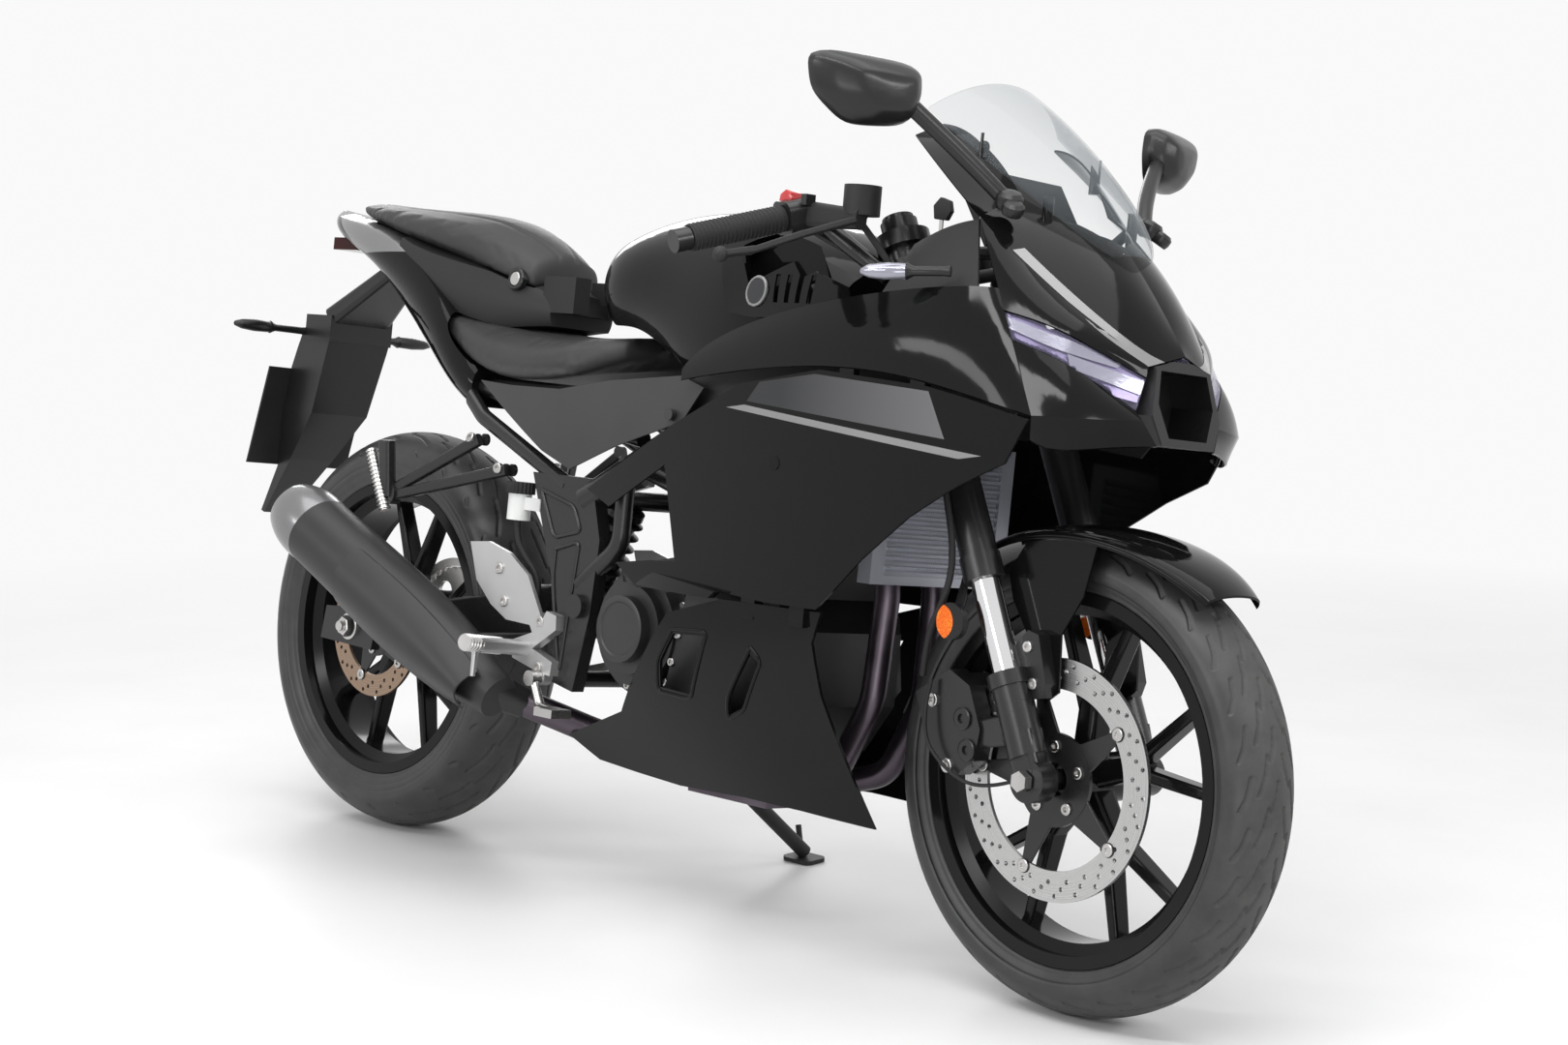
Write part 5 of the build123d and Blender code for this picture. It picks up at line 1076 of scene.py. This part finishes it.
# Direction lamps: a lens pod on a stalk.
podShapes = {"front": {"middle": (487, 240, 887), "base": (556, 200, 893), "half": 34, "radius": 10.5,
                       "look": ("lamp_bar", "lamp")},
             "rear": {"middle": (-978, 160, 773), "base": (-978, 60, 773), "half": 40, "radius": 10,
                      "look": ("satin_black", "matte_black")}}
for place, pod in podShapes.items():
    for side, word in bothSides:
        middle, base = (Vector((p[0], side * p[1], p[2])) for p in (pod["middle"], pod["base"]))
        out, half, radius = (middle - base).normalized(), pod["half"], pod["radius"]
        shell = bmesh.new()
        addLathe(shell, [(-half, 0), (-half, radius * 0.5), (-half * 0.8, radius * 0.9), (0, radius),
                         (half * 0.6, radius * 0.8), (half * 0.92, radius * 0.4), (half, 0)], middle, out, 32)
        lens = fromBuild(f"direction_lens_{place}_{word}", shell, "chassis", *pod["look"], True)
        reach = (middle - base).length
        turnedPiece(f"direction_stalk_{place}_{word}",
                    [(0, 7), (8, 6), (reach - half, 6), (reach - half * 0.75, radius * 1.02),
                     (reach - half * 0.7, 0)], base, out, "chassis", "satin_black", "matte_black", 24)
        if (place, side) == ("front", -1):
            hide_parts("indicators")
print("fittings set")
# Floor and backdrop.
build = bmesh.new()
bmesh.ops.create_grid(build, x_segments=2, y_segments=2, size=30)
floor = newObject("floor", newMesh("floor", build))
floorNet = Net("floor")
mark = floorNet.noise(3, 4)
floorNet.finish(Base_Color=floorNet.blend(mark.ramp(0.4, 0.7), (0.84, 0.84, 0.84), (0.81, 0.81, 0.81)),
                Roughness=mark.ramp(0.3, 0.7, 0.4, 0.5), Specular_IOR_Level=0.3)
# Far from the object the floor fades into the backdrop's own brightness.
fade = (1.4, 3.8)
reach = floorNet.add("ShaderNodeVectorMath", {"operation": "LENGTH"}, {0: floorNet.coords}, "Value")
pale = floorNet.add("ShaderNodeEmission", {}, {"Color": (0.95, 0.95, 0.95, 1)})
mixed = floorNet.add("ShaderNodeMixShader", {}, {0: reach.ramp(*fade),
                                                 1: Wire(floorNet, floorNet.shader.outputs[0]), 2: pale})
floorNet.tree.links.new(mixed.socket, floorNet.tree.nodes["Material Output"].inputs["Surface"])
floor.data.materials.append(floorNet.material)

world = bpy.data.worlds.new("studio")
world.use_nodes = True
bpy.context.scene.world = world
brightness = {"lighting": 0.45, "seen": 0.95}
sky = Graph(world.node_tree)
direct, *others = (sky.add("ShaderNodeLightPath", {}, {}, f"Is {kind} Ray")
                   for kind in ("Camera", "Transmission", "Glossy"))
for ray in others:
    direct = direct.sum("MAXIMUM", direct, ray)
background = sky.tree.nodes["Background"]
sky.feed(background.inputs["Strength"], direct.ramp(0, 1, brightness["lighting"], brightness["seen"]))
background.inputs["Color"].default_value = (1, 1, 1, 1)
